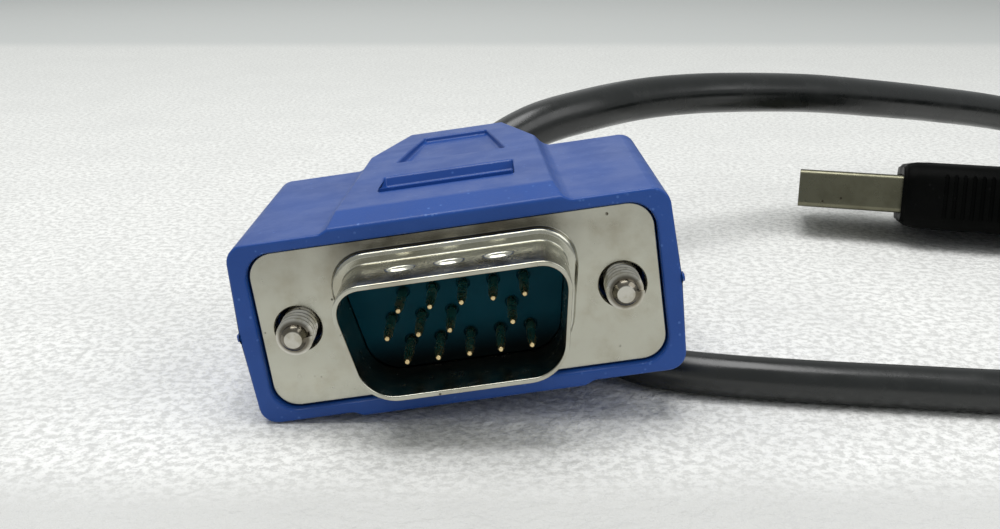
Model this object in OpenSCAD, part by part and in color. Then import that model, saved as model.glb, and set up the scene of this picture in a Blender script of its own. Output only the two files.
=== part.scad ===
// Server interface unit: a moulded video plug with two leads, a flat serial plug and an inline module.
// The video plug lies rolled on its lower edges, with its face towards -Y and +Z up.
// The origin is the centre of the D shell on the front face of the flange.

/* [Connector] */
// Height of the metal flange
flange_h = 12.6; // [11.8:0.1:13]
// Thickness of each of the two flange plates
flange_t = 0.8; // [0.5:0.1:1]
// Corner radius of the flange
flange_r = 2; // [0.5:0.1:3]
// Distance from the side of the D shell to the axis of a jackscrew
screw_gap = 3.5; // [3.4:0.05:3.8]
// Distance from the axis of a jackscrew to the edge of the flange
flange_margin = 2.9; // [2.6:0.1:3.1]
// Diameter of the flange's two screw holes
flange_hole_d = 3.6; // [3.2:0.1:4.2]
// Outer width of the D shell along its long side
shell_w = 18; // [17.6:0.1:18.2]
// Outer height of the D shell
shell_h = 9.1; // [8.8:0.1:9.4]
// Sheet thickness of the D shells
shell_wall = 0.4; // [0.3:0.05:0.5]
// Reach of the D shell ahead of the flange
shell_reach = 5.8; // [5:0.1:6.5]
// Corner radius of the D shell
shell_r = 2.6; // [1.5:0.1:3]
// Slope of the D shell's two short sides, in degrees
shell_slope = 10; // [6:1:12]
// Width of the raised shoulder round the D shell
shoulder_w = 0.9; // [0.4:0.1:1.2]
// Height of the raised shoulder above the flange
shoulder_t = 0.6; // [0.3:0.1:1]
// Number of dimples along each long side of the D shell
dimples = 3; // [1:1:4]
// Spacing of the dimples
dimple_pitch = 3.6; // [3:0.1:4.2]
// Length of a dimple
dimple_l = 1.9; // [1:0.1:2.4]
// Width of a dimple
dimple_w = 0.7; // [0.4:0.1:1]
// Depth of a dimple
dimple_depth = 0.2; // [0.1:0.05:0.25]
// Diameter of a contact pin
pin_d = 0.76; // [0.6:0.02:0.9]
// Spacing of the pins in a row
pin_pitch = 2.29; // [2.2:0.01:2.4]
// Spacing of the pin rows
pin_row_pitch = 1.98; // [1.8:0.01:2.1]
// Distance of the pin tips behind the shell's rim
pin_set_back = 0.9; // [0.4:0.1:1.6]
// Length of the insulator behind the flange's front face
insulator_back = 7.5; // [6.5:0.1:8]
// Distance of the insulator's face ahead of the flange's front face
insulator_face = 0.4; // [0:0.1:1]
// Length of a solder cup
cup_l = 2.4; // [1.5:0.1:2.6]
// Diameter of a solder cup
cup_d = 1.2; // [1:0.1:1.3]
// Diameter of an insulated core wire
wire_d = 0.9; // [0.6:0.1:1.2]
// Length of the bare core wires between the cups and the inner mould
wire_l = 3; // [2:0.1:3.4]

/* [Hood] */
// Roll of the plug on the surface, in degrees, right side up
plug_roll = 8.2; // [0:0.2:10]
// Width of the hood's rim beside the flange, at the parting line
hood_rim = 1.55; // [1.3:0.05:2]
// Draft of each side of the hood from the parting line to the edge
hood_side_draft = 0.55; // [0:0.05:0.6]
// Half height of the wings
wing_half_h = 7.3; // [7:0.1:7.8]
// Depth of the wings behind the flange's front face
wing_back = 20.5; // [19.5:0.1:22]
// Draft of the wings from front to back
wing_draft = 0.5; // [0:0.1:0.8]
// Corner radius of the wings
wing_r = 1.7; // [0.8:0.1:2.2]
// How far the hood's rim stands ahead of the flange
rim_proud = 0.6; // [0.3:0.1:1]
// Half height of the raised middle band
band_half_h = 8.4; // [8.1:0.1:8.8]
// Half height of the band at the foot of its slanted front
band_front_half_h = 7.6; // [7.4:0.1:8]
// Half width of the band's foot at the front
band_foot = 9.4; // [9:0.1:9.8]
// Half width of the band's foot at the back of the wings
tail_foot = 8.6; // [8:0.1:8.8]
// Half width of the tail at its rear face
tail_end_foot = 5.5; // [4.8:0.1:6]
// Half height of the tail at its rear face
tail_end_half_h = 8.1; // [7.4:0.1:8.4]
// Distance from the flange's front face to the tail's rear face
tail_back = 31; // [29:0.5:33]
// Rise of the band's slanted front
band_chamfer = 2.2; // [1.5:0.1:3]
// Width of the band's sloped sides
band_slope_w = 1.1; // [0.6:0.1:1.6]
// Half width of the rectangular scoop
scoop_half_w = 5.4; // [4:0.1:6]
// Front edge of the rectangular scoop
scoop_front = 6; // [5:0.1:7]
// Rear edge of the rectangular scoop
scoop_rear = 11.4; // [9:0.1:12.5]
// Depth of the scoop at its rear edge
scoop_depth = 1; // [0.4:0.1:1.2]
// Front edge of the tapered recess
taper_front = 16.5; // [15:0.1:18]
// Rear edge of the tapered recess
taper_rear = 27.5; // [24:0.1:28.5]
// Half width of the tapered recess at its front edge
taper_front_half_w = 4.8; // [4:0.1:5.5]
// Half width of the tapered recess at its rear edge
taper_rear_half_w = 3; // [2:0.1:3.4]
// Depth of the tapered recess
taper_depth = 0.5; // [0.3:0.1:0.8]

/* [Jackscrews] */
// Major diameter of the jackscrew's thread
screw_d = 2.84; // [2.6:0.02:3]
// Diameter of the plain shank
shank_d = 2.3; // [2:0.1:2.5]
// Reach of the screw tip ahead of the flange
screw_reach = 2.4; // [1.5:0.1:3]
// Length of the reduced tip
screw_tip_l = 0.6; // [0.3:0.1:1]
// Diameter of the reduced tip
screw_tip_d = 2.1; // [1.6:0.1:2.3]
// Length of the thread
thread_l = 7.6; // [6:0.1:8]
// Length of the run-out groove in the thread, at the flange
runout_l = 0.6; // [0.4:0.1:1]
// Travel of a captive jackscrew
screw_travel = 3; // [1:0.1:3.2]
// Place of the retaining ring behind the flange's front face
ring_y = 9.4; // [8.5:0.1:10]
// Thickness of the retaining ring
ring_t = 0.8; // [0.5:0.1:1]
// Outer diameter of the retaining ring
ring_d = 5; // [4.4:0.1:5.2]
// Diameter of the groove that the ring runs in
groove_d = 1.7; // [1.4:0.1:1.8]
// Diameter of the thumb knob
knob_d = 7; // [6:0.1:7.2]
// Length of the thumb knob
knob_l = 8; // [6:0.5:10]
// Number of grip ribs on the knob
knob_ribs = 16; // [12:1:20]
// Depth of the knob's grip grooves
knob_groove = 0.35; // [0.2:0.05:0.5]
// Gap between the knob and the wing
knob_gap = 0.3; // [0.2:0.1:1]

/* [Shield] */
// Sheet thickness of the shield can
can_wall = 0.3; // [0.2:0.05:0.4]
// Rear face of the shield can
can_back = 16.5; // [15.9:0.1:17.5]
// Front face of the shield can
can_front = 2.2; // [1.8:0.1:3]

/* [Leads] */
// Diameter of the main lead
main_d = 4.8; // [4.2:0.1:5]
// Diameter of the serial lead
serial_d = 3.5; // [3:0.1:3.6]
// Height of the main lead's exit above the plug's axis
main_exit_z = 2; // [1.8:0.1:2.2]
// Depth of the serial lead's exit below the plug's axis
serial_exit_z = 2.8; // [2.6:0.1:2.9]

/* [Serial plug] */
// Width of the serial plug's shell
serial_w = 12; // [11.8:0.1:12.2]
// Height of the serial plug's shell
serial_h = 4.5; // [4.3:0.1:4.7]
// Sheet thickness of the serial plug's shell
serial_wall = 0.3; // [0.2:0.05:0.35]
// Length of the shell that stands out of the grip
serial_reach = 11.9; // [11.5:0.1:13]
// Length of the shell inside the grip
serial_seat = 5; // [4:0.5:7]
// Thickness of the tongue
tongue_t = 1.9; // [1.6:0.1:2.1]
// Distance of the tongue behind the shell's mouth
tongue_set_back = 0.6; // [0.4:0.1:1.2]
// Length of the open part of the tongue
tongue_l = 9.2; // [8.5:0.1:10]
// Side of a latch window
window_side = 2.4; // [2:0.1:2.8]
// Distance between the two latch windows
window_spacing = 5; // [4.5:0.1:6]
// Place of the latch windows behind the mouth
window_set_back = 5.2; // [4.6:0.1:6]
// Width of a contact strip
strip_w = 1; // [0.8:0.05:1.2]
// Thickness of a contact strip
strip_t = 0.2; // [0.1:0.05:0.25]
// Length of a contact strip
strip_l = 7; // [6:0.1:8]
// Spacing of the contact strips
strip_pitch = 2.3; // [2:0.1:2.6]
// Width of the grip
grip_w = 15.6; // [14.5:0.1:17]
// Thickness of the grip
grip_t = 7.8; // [7:0.1:9]
// Length of the grip
grip_l = 29; // [24:1:34]
// Corner radius of the grip's section
grip_r = 2.2; // [1:0.1:3]
// Length of the strain relief
relief_l = 14; // [10:1:20]
// Diameter of the strain relief at the grip
relief_d = 6.6; // [5.5:0.1:7]
// Number of slots in the strain relief
relief_slots = 5; // [3:1:7]

/* [Module] */
// Length of the module
module_l = 70; // [64:1:90]
// Width of the module
module_w = 36; // [32:1:44]
// Height of the module
module_h = 21.5; // [21:0.5:26]
// Wall of the module's case
case_wall = 1.6; // [1.2:0.1:2]
// Height of the seam between base and lid
seam_z = 11; // [9.5:0.5:13]
// Corner radius of the case
case_r = 4; // [2.5:0.5:5]
// Thickness of the circuit board
board_t = 1.6; // [1:0.1:2]
// Height of the board's underside above the surface
board_z = 4.2; // [3.4:0.1:4.6]
// Gap between the board and the case walls
board_gap = 0.8; // [0.4:0.1:1.2]
// Width of the network jack
jack_w = 15.6; // [15:0.1:16.4]
// Height of the network jack
jack_h = 13; // [12.4:0.1:13.2]
// Depth of the network jack
jack_l = 21; // [18:0.5:23]
// Width of the network socket
socket_w = 11.9; // [11.7:0.1:12.2]
// Height of the network socket
socket_h = 7.2; // [6.8:0.1:7.6]
// Depth of the network socket
socket_l = 13.6; // [12.5:0.1:15]
// Width of the latch slot below the socket
latch_w = 6.2; // [5.8:0.1:6.6]
// Height of the latch slot
latch_h = 1.7; // [1.4:0.1:2]
// Height of the socket's floor above the jack's underside
socket_floor = 3.4; // [3:0.1:3.6]
// Diameter of the lead's grommet
grommet_d = 9; // [8:0.5:10]
// Thickness of the grommet's outer flange
grommet_t = 2; // [1.5:0.5:3]
// Diameter of the case screws' thread
case_screw_d = 2.4; // [2:0.1:2.6]
// Diameter of the case screws' heads
case_head_d = 4.4; // [4:0.1:5]
// Height of the case screws' heads
case_head_t = 1.5; // [1.2:0.1:1.8]

/* [Hidden] */
$fn = 48;
// Overrun of every cut past the face that it opens
over = 0.5;
// Clearance between pieces that are assembled to stay
fit = 0.04;
// Clearance round pieces that drop into place
seat = 0.1;
// Radial clearance of the screw in its retaining ring
run = 0.05;
// Radial clearance of the screw in the hood
free = 0.3;
// Height of the surface that everything lies on
floor_z = -9.5;
// Steps along each rounded corner
arc_steps = 5;
// Corners of each rib and slot on the knobs and on the strain relief
rib_steps = 4;

// Places derived from the sizes above
screw_spacing = shell_w + 2 * screw_gap;
flange_w = screw_spacing + 2 * flange_margin;
hood_half_w = flange_w / 2 + hood_rim;
plates_t = 2 * flange_t;
shell_inner_w = shell_w - 2 * shell_wall;
shell_inner_h = shell_h - 2 * shell_wall;
insulator_w = shell_inner_w - 2 * fit;
insulator_h = shell_inner_h - 2 * fit;
pin_tip_y = pin_set_back - shell_reach;
cup_y = insulator_back + cup_l;
can_w = shell_w + 2 * (can_wall + seat);
can_h = shell_h + 2 * (can_wall + seat);
cavity_w = can_w + 2 * seat;
cavity_h = can_h + 2 * seat;
rear_shell_back = insulator_back - shell_wall;
mould_front = cup_y + wire_l;
ring_pocket_d = ring_d + 2 * seat;
knob_front = wing_back + knob_gap;
knob_back = knob_front + knob_l;
// Closed end of a knob, as a share of its length
knob_cap_share = 0.25;
shank_back = knob_back - knob_l * knob_cap_share;

// The plug's stagger of the pin rows, as shares of the pin pitch, from the top row down
row_shift_shares = [0.25, -0.25, 0.25];
row_count = 3;
column_count = 5;
// The empty place of the middle row, counted from the left
blank_row = 1;
blank_column = 3;

// Places of the serial plug's mouth and of the module's lead end
serial_at = [41.6, 57.5, -4.4];
serial_turn = -107;
serial_tilt = 12;
module_at = [137, 62, floor_z];
module_turn = -90;

// Centre line of the main lead, from the plug's tail to the module's grommet
main_route = [[-0.3, 31, 2], [-0.3, 33, 2], [0.7, 35.7, 3], [3.5, 38, 5], [7.5, 40.4, 6.7],
    [12.5, 43.6, 7.6], [19, 48.6, 8.1], [26, 53, 8.1], [34, 57, 7.7], [43, 61.4, 6.9], [52, 66, 5.6],
    [62, 71.2, 4], [74, 77.2, 1.8], [84, 81.4, -0.6], [94, 84.6, -3.4], [104, 86.2, -5.8],
    [113, 86, -7], [121.6, 83.4, -6.4], [128.6, 79, -4], [133.6, 74.4, -0.8], [136.4, 70, 1],
    [137, 67, 1.25], [137, 64, 1.25]];
// Centre line of the serial lead, from the plug's tail, under the right wing, to the serial plug
serial_route = [[0.4, 31, -2.8], [0.4, 33, -2.8], [2.2, 37.4, -4.4], [6.4, 40.2, -6.4], [11.4, 39.4, -7.5],
    [14.6, 34.6, -7.7], [14.6, 28, -7.7], [13, 21.4, -7.7], [12.2, 15.4, -7.7], [12.7, 10.6, -7.7],
    [15, 7.2, -7.7], [19.2, 5.3, -7.7], [27.6, 3.5, -7.7], [35, 2.4, -7.7], [43, 1.3, -7.7], [54, 0.3, -7.7],
    [66, 0.2, -7.7], [78, 1.2, -7.7], [89, 3.8, -7.7], [98.6, 8, -7.7], [106, 13.8, -7.7],
    [110.6, 20.4, -7.6], [112, 27, -6.9], [110.2, 33, -5.8], [105.6, 37.3, -4.8], [99.8, 39.7, -4.4],
    [94.1, 41.45, -4.4]];

function unit(v) = v / norm(v);
function turned_back(a) = a > 180 ? a - 360 : a < -180 ? a + 360 : a;

// Arc that rounds the convex corner p between the points a and b
function corner_arc(p, a, b, r) =
    let (u = unit(a - p), w = unit(b - p), half = acos(u * w) / 2,
        c = p + unit(u + w) * r / sin(half), s = p + u * r / tan(half) - c, e = p + w * r / tan(half) - c,
        from = atan2(s.y, s.x), sweep = turned_back(atan2(e.y, e.x) - from))
    r <= 0 ? [p] : [for (i = [0 : arc_steps])
        let (t = from + sweep * i / arc_steps) c + r * [cos(t), sin(t)]];

// Convex outline with a radius at each corner
function rounded(points, radii) =
    let (n = len(points))
    [for (i = [0 : n - 1])
        each corner_arc(points[i], points[(i + n - 1) % n], points[(i + 1) % n], radii[i])];

// Outline of the D, wide side up, given its width along the wide side
function d_outline(w, h, r) =
    let (top = w / 2, bottom = w / 2 - h * tan(shell_slope))
    rounded([[-bottom, -h / 2], [bottom, -h / 2], [top, h / 2], [-top, h / 2]], [r, r, r, r]);
function box_outline(w, h, r) =
    rounded([[-w / 2, -h / 2], [w / 2, -h / 2], [w / 2, h / 2], [-w / 2, h / 2]], [r, r, r, r]);

// Section through the wings, widest at the parting line
function wing_outline(inset) =
    let (edge = hood_half_w - hood_side_draft - inset, mid = hood_half_w - inset, h = wing_half_h, r = wing_r)
    rounded([[-edge, -h], [edge, -h], [mid, 0], [edge, h], [-edge, h], [-mid, 0]], [r, r, 0, r, r, 0]);

// Section through the raised band and the tail
function band_outline(foot, top, half_h) =
    let (shoulder = wing_half_h - band_slope_w / 2)
    [[foot, -shoulder], [foot, shoulder], [top, half_h], [-top, half_h],
    [-foot, shoulder], [-foot, -shoulder], [-top, -half_h], [top, -half_h]];
function ring_at(outline, y) = [for (p = outline) [p.x, y, p.y]];

// Closed solid through rings of as many points, ordered along +Y
module skin(rings) {
    n = len(rings[0]);
    last = (len(rings) - 1) * n;
    sides = [for (k = [0 : n : last - n], i = [0 : n - 1]) let (j = (i + 1) % n)
        each [[k + i, k + j, k + n + i], [k + j, k + n + j, k + n + i]]];
    front = [for (i = [n - 1 : -1 : 0]) i];
    back = [for (i = [0 : n - 1]) last + i];
    polyhedron([for (r = rings) each r], concat(sides, [front, back]));
}

// Tube of a lead, with one ring square to the route at each of its points
module lead(route, d, sides) {
    n = len(route) - 1;
    skin([for (i = [0 : n])
        let (t = unit(route[min(i + 1, n)] - route[max(i - 1, 0)]),
            s = unit(cross(t, [0, 0, 1])), u = cross(s, t))
        [for (k = [0 : sides - 1]) let (a = 360 * k / sides) route[i] + d / 2 * (s * cos(a) + u * sin(a))]]);
}
function route_length(route) = let (steps = [for (i = [1 : len(route) - 1]) norm(route[i] - route[i - 1])])
    steps * [for (s = steps) 1];

// Straight solid along Y over an outline in X and Z
module prism_y(from, to) translate([0, to, 0]) rotate([90, 0, 0]) linear_extrude(to - from) children();
module rod_y(d, from, to) prism_y(from, to) circle(d = d);
module on_plug() rotate([0, -plug_roll, 0]) children();
module on_serial_plug() translate(serial_at) rotate([0, -serial_tilt, serial_turn]) children();
module on_module() translate(module_at) rotate([0, 0, module_turn]) children();
module at_screw(side) translate([side * screw_spacing / 2, 0, 0]) children();
module each_screw() for (side = [-1, 1]) at_screw(side) children();
module top_and_bottom() for (side = [0, 1]) mirror([0, 0, side]) children();

// Places of the pins, as X and Z on the plug's face
function pin_places() = [for (row = [0 : row_count - 1], column = [0 : column_count - 1])
    if (row != blank_row || column != blank_column)
        [(column - (column_count - 1) / 2 + row_shift_shares[row]) * pin_pitch, (1 - row) * pin_row_pitch]];
module each_pin() for (p = pin_places()) translate([p.x, 0, p.y]) children();

// Moulded hood: wings with the jackscrew bores, the raised middle band and the tail
module vga_hood() color("slateblue") on_plug() difference() {
    union() {
        skin([ring_at(wing_outline(0), -rim_proud), ring_at(wing_outline(wing_draft), wing_back)]);
        skin([ring_at(band_outline(band_foot, band_foot - band_slope_w / 2, band_front_half_h), -rim_proud),
            ring_at(band_outline(band_foot, band_foot - band_slope_w, band_half_h), band_chamfer - rim_proud),
            ring_at(band_outline(tail_foot, tail_foot - band_slope_w, band_half_h), wing_back),
            ring_at(band_outline(tail_end_foot, tail_end_foot - band_slope_w, tail_end_half_h), tail_back)]);
    }
    prism_y(-rim_proud - over, plates_t)
        polygon(box_outline(flange_w + 2 * seat, flange_h + 2 * seat, flange_r));
    prism_y(plates_t - over, can_back + seat) square([cavity_w, cavity_h], center = true);
    each_screw() {
        rod_y(screw_d + 2 * free, plates_t - over, ring_y);
        rod_y(ring_pocket_d, ring_y - seat, ring_y + ring_t + screw_travel + seat);
        rod_y(shank_d + 2 * free, ring_y, wing_back + over);
    }
    translate([0, 0, main_exit_z]) rod_y(main_d + 2 * fit, can_back, tail_back + over);
    translate([0, 0, -serial_exit_z]) rod_y(serial_d + 2 * fit, can_back, tail_back + over);
    top_and_bottom() {
        scoop();
        translate([0, 0, band_half_h - taper_depth]) linear_extrude(taper_depth + over) taper_outline();
    }
}

// Wedge that is cut into the band, deepest at its rear edge
module scoop() translate([-scoop_half_w, 0, 0]) rotate([90, 0, 90]) linear_extrude(2 * scoop_half_w)
    polygon([[scoop_front, band_half_h], [scoop_rear, band_half_h - scoop_depth],
        [scoop_rear, band_half_h + over], [scoop_front, band_half_h + over]]);
module taper_outline() polygon([[-taper_front_half_w, taper_front], [taper_front_half_w, taper_front],
    [taper_rear_half_w, taper_rear], [-taper_rear_half_w, taper_rear]]);

module shell_bore() polygon(d_outline(shell_inner_w, shell_inner_h, shell_r - shell_wall));

// Front plate of the flange with its shoulder and the D shell that goes into the socket
module vga_front_shell() color("lightgray") on_plug() difference() {
    union() {
        prism_y(0, flange_t) polygon(box_outline(flange_w, flange_h, flange_r));
        prism_y(-shoulder_t, 0)
            polygon(d_outline(shell_w + 2 * shoulder_w, shell_h + 2 * shoulder_w, shell_r + shoulder_w));
        prism_y(-shell_reach, 0) polygon(d_outline(shell_w, shell_h, shell_r));
    }
    prism_y(-shell_reach - over, flange_t + over) shell_bore();
    each_screw() rod_y(flange_hole_d, -over, flange_t + over);
    top_and_bottom() for (i = [0 : dimples - 1])
        translate([(i - (dimples - 1) / 2) * dimple_pitch, -shell_reach / 2, shell_h / 2 - dimple_depth])
            linear_extrude(dimple_depth + over) square([dimple_l, dimple_w], center = true);
}

// Rear plate of the flange with the sleeve round the insulator
module vga_rear_shell() color("silver") on_plug() difference() {
    union() {
        prism_y(flange_t, plates_t) polygon(box_outline(flange_w, flange_h, flange_r));
        prism_y(flange_t, rear_shell_back) polygon(d_outline(shell_w, shell_h, shell_r));
    }
    prism_y(flange_t - over, rear_shell_back + over) shell_bore();
    each_screw() rod_y(flange_hole_d, flange_t - over, plates_t + over);
}

module vga_insulator() color("darkslategray") on_plug() difference() {
    prism_y(-insulator_face, insulator_back)
        polygon(d_outline(insulator_w, insulator_h, shell_r - shell_wall - fit));
    each_pin() rod_y(pin_d + 2 * fit, -insulator_face - over, insulator_back + over);
}

// Contact pins with round tips and solder cups; one place of the middle row stays empty
module vga_pins() color("gold") on_plug() each_pin() {
    rod_y(pin_d, pin_tip_y + pin_d / 2, insulator_back);
    translate([0, pin_tip_y + pin_d / 2, 0]) sphere(d = pin_d);
    rod_y(cup_d, insulator_back, cup_y);
}

// Sheet-metal can round the solder joints, soldered to the rear shell
module vga_shield_can() color("tan") on_plug() difference() {
    prism_y(can_front, can_back) square([can_w, can_h], center = true);
    prism_y(can_front - over, can_back - can_wall)
        square([can_w - 2 * can_wall, can_h - 2 * can_wall], center = true);
    translate([0, 0, main_exit_z]) rod_y(main_d + 2 * fit, can_back - can_wall - over, can_back + over);
    translate([0, 0, -serial_exit_z]) rod_y(serial_d + 2 * fit, can_back - can_wall - over, can_back + over);
}
module vga_core_wires() color("firebrick") on_plug() each_pin() rod_y(wire_d, cup_y, mould_front);
module vga_inner_mould() color("whitesmoke") on_plug()
    prism_y(mould_front, can_back - can_wall - seat)
        square([can_w - 2 * (can_wall + seat), can_h - 2 * (can_wall + seat)], center = true);
module main_cable_root() color("dimgray") on_plug()
    translate([0, 0, main_exit_z]) rod_y(main_d, can_back - can_wall - seat, tail_back);
module usb_cable_root() color("dimgray") on_plug()
    translate([0, 0, -serial_exit_z]) rod_y(serial_d, can_back - can_wall - seat, tail_back);

// Captive jackscrew along Y, with its reduced tip ahead of the flange
module jackscrew(side) color("gainsboro") on_plug() at_screw(side) {
    rod_y(screw_tip_d, -screw_reach, screw_tip_l - screw_reach);
    rod_y(screw_d, screw_tip_l - screw_reach, 0);
    rod_y(shank_d, 0, runout_l);
    rod_y(screw_d, runout_l, thread_l - screw_reach);
    rod_y(shank_d, thread_l - screw_reach, ring_y - run);
    rod_y(groove_d, ring_y - run, ring_y + ring_t + run);
    rod_y(shank_d, ring_y + ring_t + run, shank_back);
}
module left_jackscrew() jackscrew(-1);
module right_jackscrew() jackscrew(1);

// Ribbed knob pressed on the rear end of a jackscrew
module thumb_knob(side) color("#22242a") on_plug() at_screw(side) difference() {
    corners = knob_ribs * rib_steps;
    prism_y(knob_front, knob_back) polygon([for (i = [0 : corners - 1])
        let (a = 360 * i / corners, r = knob_d / 2 - (i % rib_steps < rib_steps / 2 ? 0 : knob_groove))
        r * [cos(a), sin(a)]]);
    rod_y(shank_d + 2 * fit, knob_front - over, shank_back + fit);
}
module left_thumb_knob() thumb_knob(-1);
module right_thumb_knob() thumb_knob(1);

// Ring that runs in the screw's groove and stops its travel inside the wing
module retaining_ring(side) color("darkgray") on_plug() at_screw(side) difference() {
    rod_y(ring_d, ring_y, ring_y + ring_t);
    rod_y(groove_d + 2 * run, ring_y - over, ring_y + ring_t + over);
}
module left_retaining_ring() retaining_ring(-1);
module right_retaining_ring() retaining_ring(1);

echo("Length of the main lead", route_length(main_route));
echo("Length of the serial lead", route_length(serial_route));
module main_cable() color("dimgray") lead(main_route, main_d, 10);
module usb_cable() color("dimgray") lead(serial_route, serial_d, 8);

// Folded shell of the serial plug with its four latch windows
module usb_shell() color("silver") on_serial_plug() difference() {
    prism_y(0, serial_reach + serial_seat) polygon(box_outline(serial_w, serial_h, 2 * serial_wall));
    prism_y(-over, serial_reach + serial_seat + over)
        polygon(box_outline(serial_w - 2 * serial_wall, serial_h - 2 * serial_wall, serial_wall));
    for (side = [-1, 1]) translate([side * window_spacing / 2, window_set_back, 0])
        cube([window_side, window_side, serial_h + 2 * over], center = true);
}
// Number of contact strips
strips = 4;
function tongue_z() = serial_wall + fit - serial_h / 2;
module usb_tongue() color("white") on_serial_plug() {
    inner_w = serial_w - 2 * (serial_wall + fit) - 2 * serial_wall;
    inner_h = serial_h - 2 * (serial_wall + fit);
    block_l = serial_reach + serial_seat - tongue_l - tongue_set_back;
    translate([-inner_w / 2, tongue_set_back, tongue_z()]) cube([inner_w, tongue_l, tongue_t]);
    translate([-inner_w / 2, tongue_set_back + tongue_l, tongue_z()]) cube([inner_w, block_l, inner_h]);
}
module usb_contacts() color("gold") on_serial_plug() for (i = [0 : strips - 1]) {
    left = (i - (strips - 1) / 2) * strip_pitch - strip_w / 2;
    translate([left, tongue_set_back + tongue_l - strip_l, tongue_z() + tongue_t])
        cube([strip_w, strip_l, strip_t]);
}

// Places along the serial plug, from its mouth
grip_front = serial_reach;
grip_back = serial_reach + grip_l;
relief_back = grip_back + relief_l;
// Sections of the grip along its length, and how wide and thick each is, as shares of the grip's sizes
grip_place_shares = [0, 0.05, 0.75, 1];
grip_width_shares = [0.9, 1, 1, 0.62];
grip_thickness_shares = [0.84, 1, 1, 0.9];
module usb_overmould() color("#1b1c1e") on_serial_plug() difference() {
    skin([for (i = [0 : len(grip_place_shares) - 1])
        ring_at(box_outline(grip_w * grip_width_shares[i], grip_t * grip_thickness_shares[i], grip_r),
            grip_front + grip_l * grip_place_shares[i])]);
    prism_y(grip_front - over, grip_front + serial_seat + seat)
        square([serial_w + 2 * fit, serial_h + 2 * fit], center = true);
    rod_y(serial_d + 2 * fit, grip_front, grip_back + over);
}
relief_corners = rib_steps * relief_slots;
module usb_relief() color("#1b1c1e") on_serial_plug() translate([0, relief_back, 0]) rotate([90, 0, 0])
    rotate_extrude() polygon(concat(
        [[serial_d / 2 + fit, 0], [serial_d / 2 + fit, relief_l]],
        [for (i = [0 : relief_corners - 1])
            let (along = relief_l * (1 - i / relief_corners),
                r = (relief_d + (serial_d + 2 * serial_wall - relief_d) * i / relief_corners) / 2)
            [i % rib_steps < rib_steps / 2 ? r : r - serial_wall, along]],
        [[serial_d / 2 + serial_wall, 0]]));
module usb_wires() color("dimgray") on_serial_plug()
    rod_y(serial_d, grip_front + serial_seat + seat, relief_back);

// Places in the module: the lead's end is at X = 0 and the network jack at the far end
lead_z = module_h / 2;
board_top = board_z + board_t;
board_x = case_wall + grommet_t + board_gap;
board_l = module_l - case_wall - board_gap - board_x;
board_w = module_w - 2 * (case_wall + board_gap);
jack_x = module_l - jack_l;
neck_d = grommet_d - case_wall;
header_size = [5, 12, 7];
header_x = board_x + board_gap;

// The field of the board between the header and the jack, where all other places are set
field_x = header_x + header_size.x + board_gap;
field_l = jack_x - board_gap - field_x;
part_span = min(field_l, board_w);
module in_field(shares) for (s = shares)
    translate([field_x + s.x * field_l, s.y * module_w, 0]) children();

// Places of the case screws and of the plain posts, as shares of the field's length and the module's width
screw_place_shares = [[0, -0.3], [0.85, 0.3]];
post_place_shares = [[0, 0.3], [0.85, -0.3]];
post_d = case_head_d + case_wall;
module case_block(inset, from, to) translate([module_l / 2, 0, from]) linear_extrude(to - from)
    polygon(box_outline(module_l - 2 * inset, module_w - 2 * inset, case_r - inset));
module case_openings() {
    translate([jack_x, -jack_w / 2 - 2 * seat - jack_sheet, board_top - seat])
        cube([jack_l + over, jack_w + 4 * seat + 2 * jack_sheet, jack_h + jack_sheet + 2 * seat]);
    translate([-over, 0, lead_z]) rotate([0, 90, 0]) cylinder(d = neck_d + 2 * fit, h = case_wall + 2 * over);
}
module module_base() color("#303236") on_module() difference() {
    union() {
        difference() {
            case_block(0, 0, seam_z);
            case_block(case_wall, case_wall, seam_z + over);
        }
        in_field(screw_place_shares) cylinder(d = post_d, h = board_z);
        in_field(post_place_shares) cylinder(d = post_d, h = board_z);
    }
    case_openings();
    in_field(screw_place_shares) {
        translate([0, 0, -over]) cylinder(d = case_head_d + 2 * seat, h = case_head_t + over);
        translate([0, 0, -over]) cylinder(d = case_screw_d + 2 * seat, h = board_z + 2 * over);
    }
}
// Size of the bare label recess as shares of the lid's length and width, and its depth as one of the wall
label_size_shares = [0.58, 0.62];
label_depth_share = 0.25;
module module_lid() color("#303236") on_module() difference() {
    union() {
        difference() {
            case_block(0, seam_z, module_h);
            case_block(case_wall, seam_z - over, module_h - case_wall);
        }
        in_field(screw_place_shares) translate([0, 0, board_top])
            cylinder(d = post_d, h = module_h - case_wall / 2 - board_top);
    }
    case_openings();
    in_field(screw_place_shares) translate([0, 0, board_top - over])
        cylinder(d = case_screw_d + 2 * fit, h = case_screw_l + over);
    translate([module_l / 2, 0, module_h - case_wall * label_depth_share]) linear_extrude(case_wall)
        polygon(box_outline(module_l * label_size_shares.x, module_w * label_size_shares.y, case_wall));
}
// Length of a case screw above the board
case_screw_l = seam_z - board_top;
module case_screws() color("silver") on_module() in_field(screw_place_shares) {
    cylinder(d = case_head_d, h = case_head_t);
    translate([0, 0, case_head_t])
        cylinder(d = case_screw_d, h = board_top + case_screw_l - case_head_t - seat);
}
module module_board() color("darkgreen") on_module() difference() {
    translate([board_x, -board_w / 2, board_z]) cube([board_l, board_w, board_t]);
    in_field(screw_place_shares) translate([0, 0, board_z - over])
        cylinder(d = case_screw_d + 2 * seat, h = board_t + 2 * over);
}

// Network jack: socket with a latch slot below, and pockets for its two lights
jack_sheet = 0.25;
socket_z = board_top + socket_floor;
light_w = 3;
light_h = 1.6;
light_l = 6;
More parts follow.
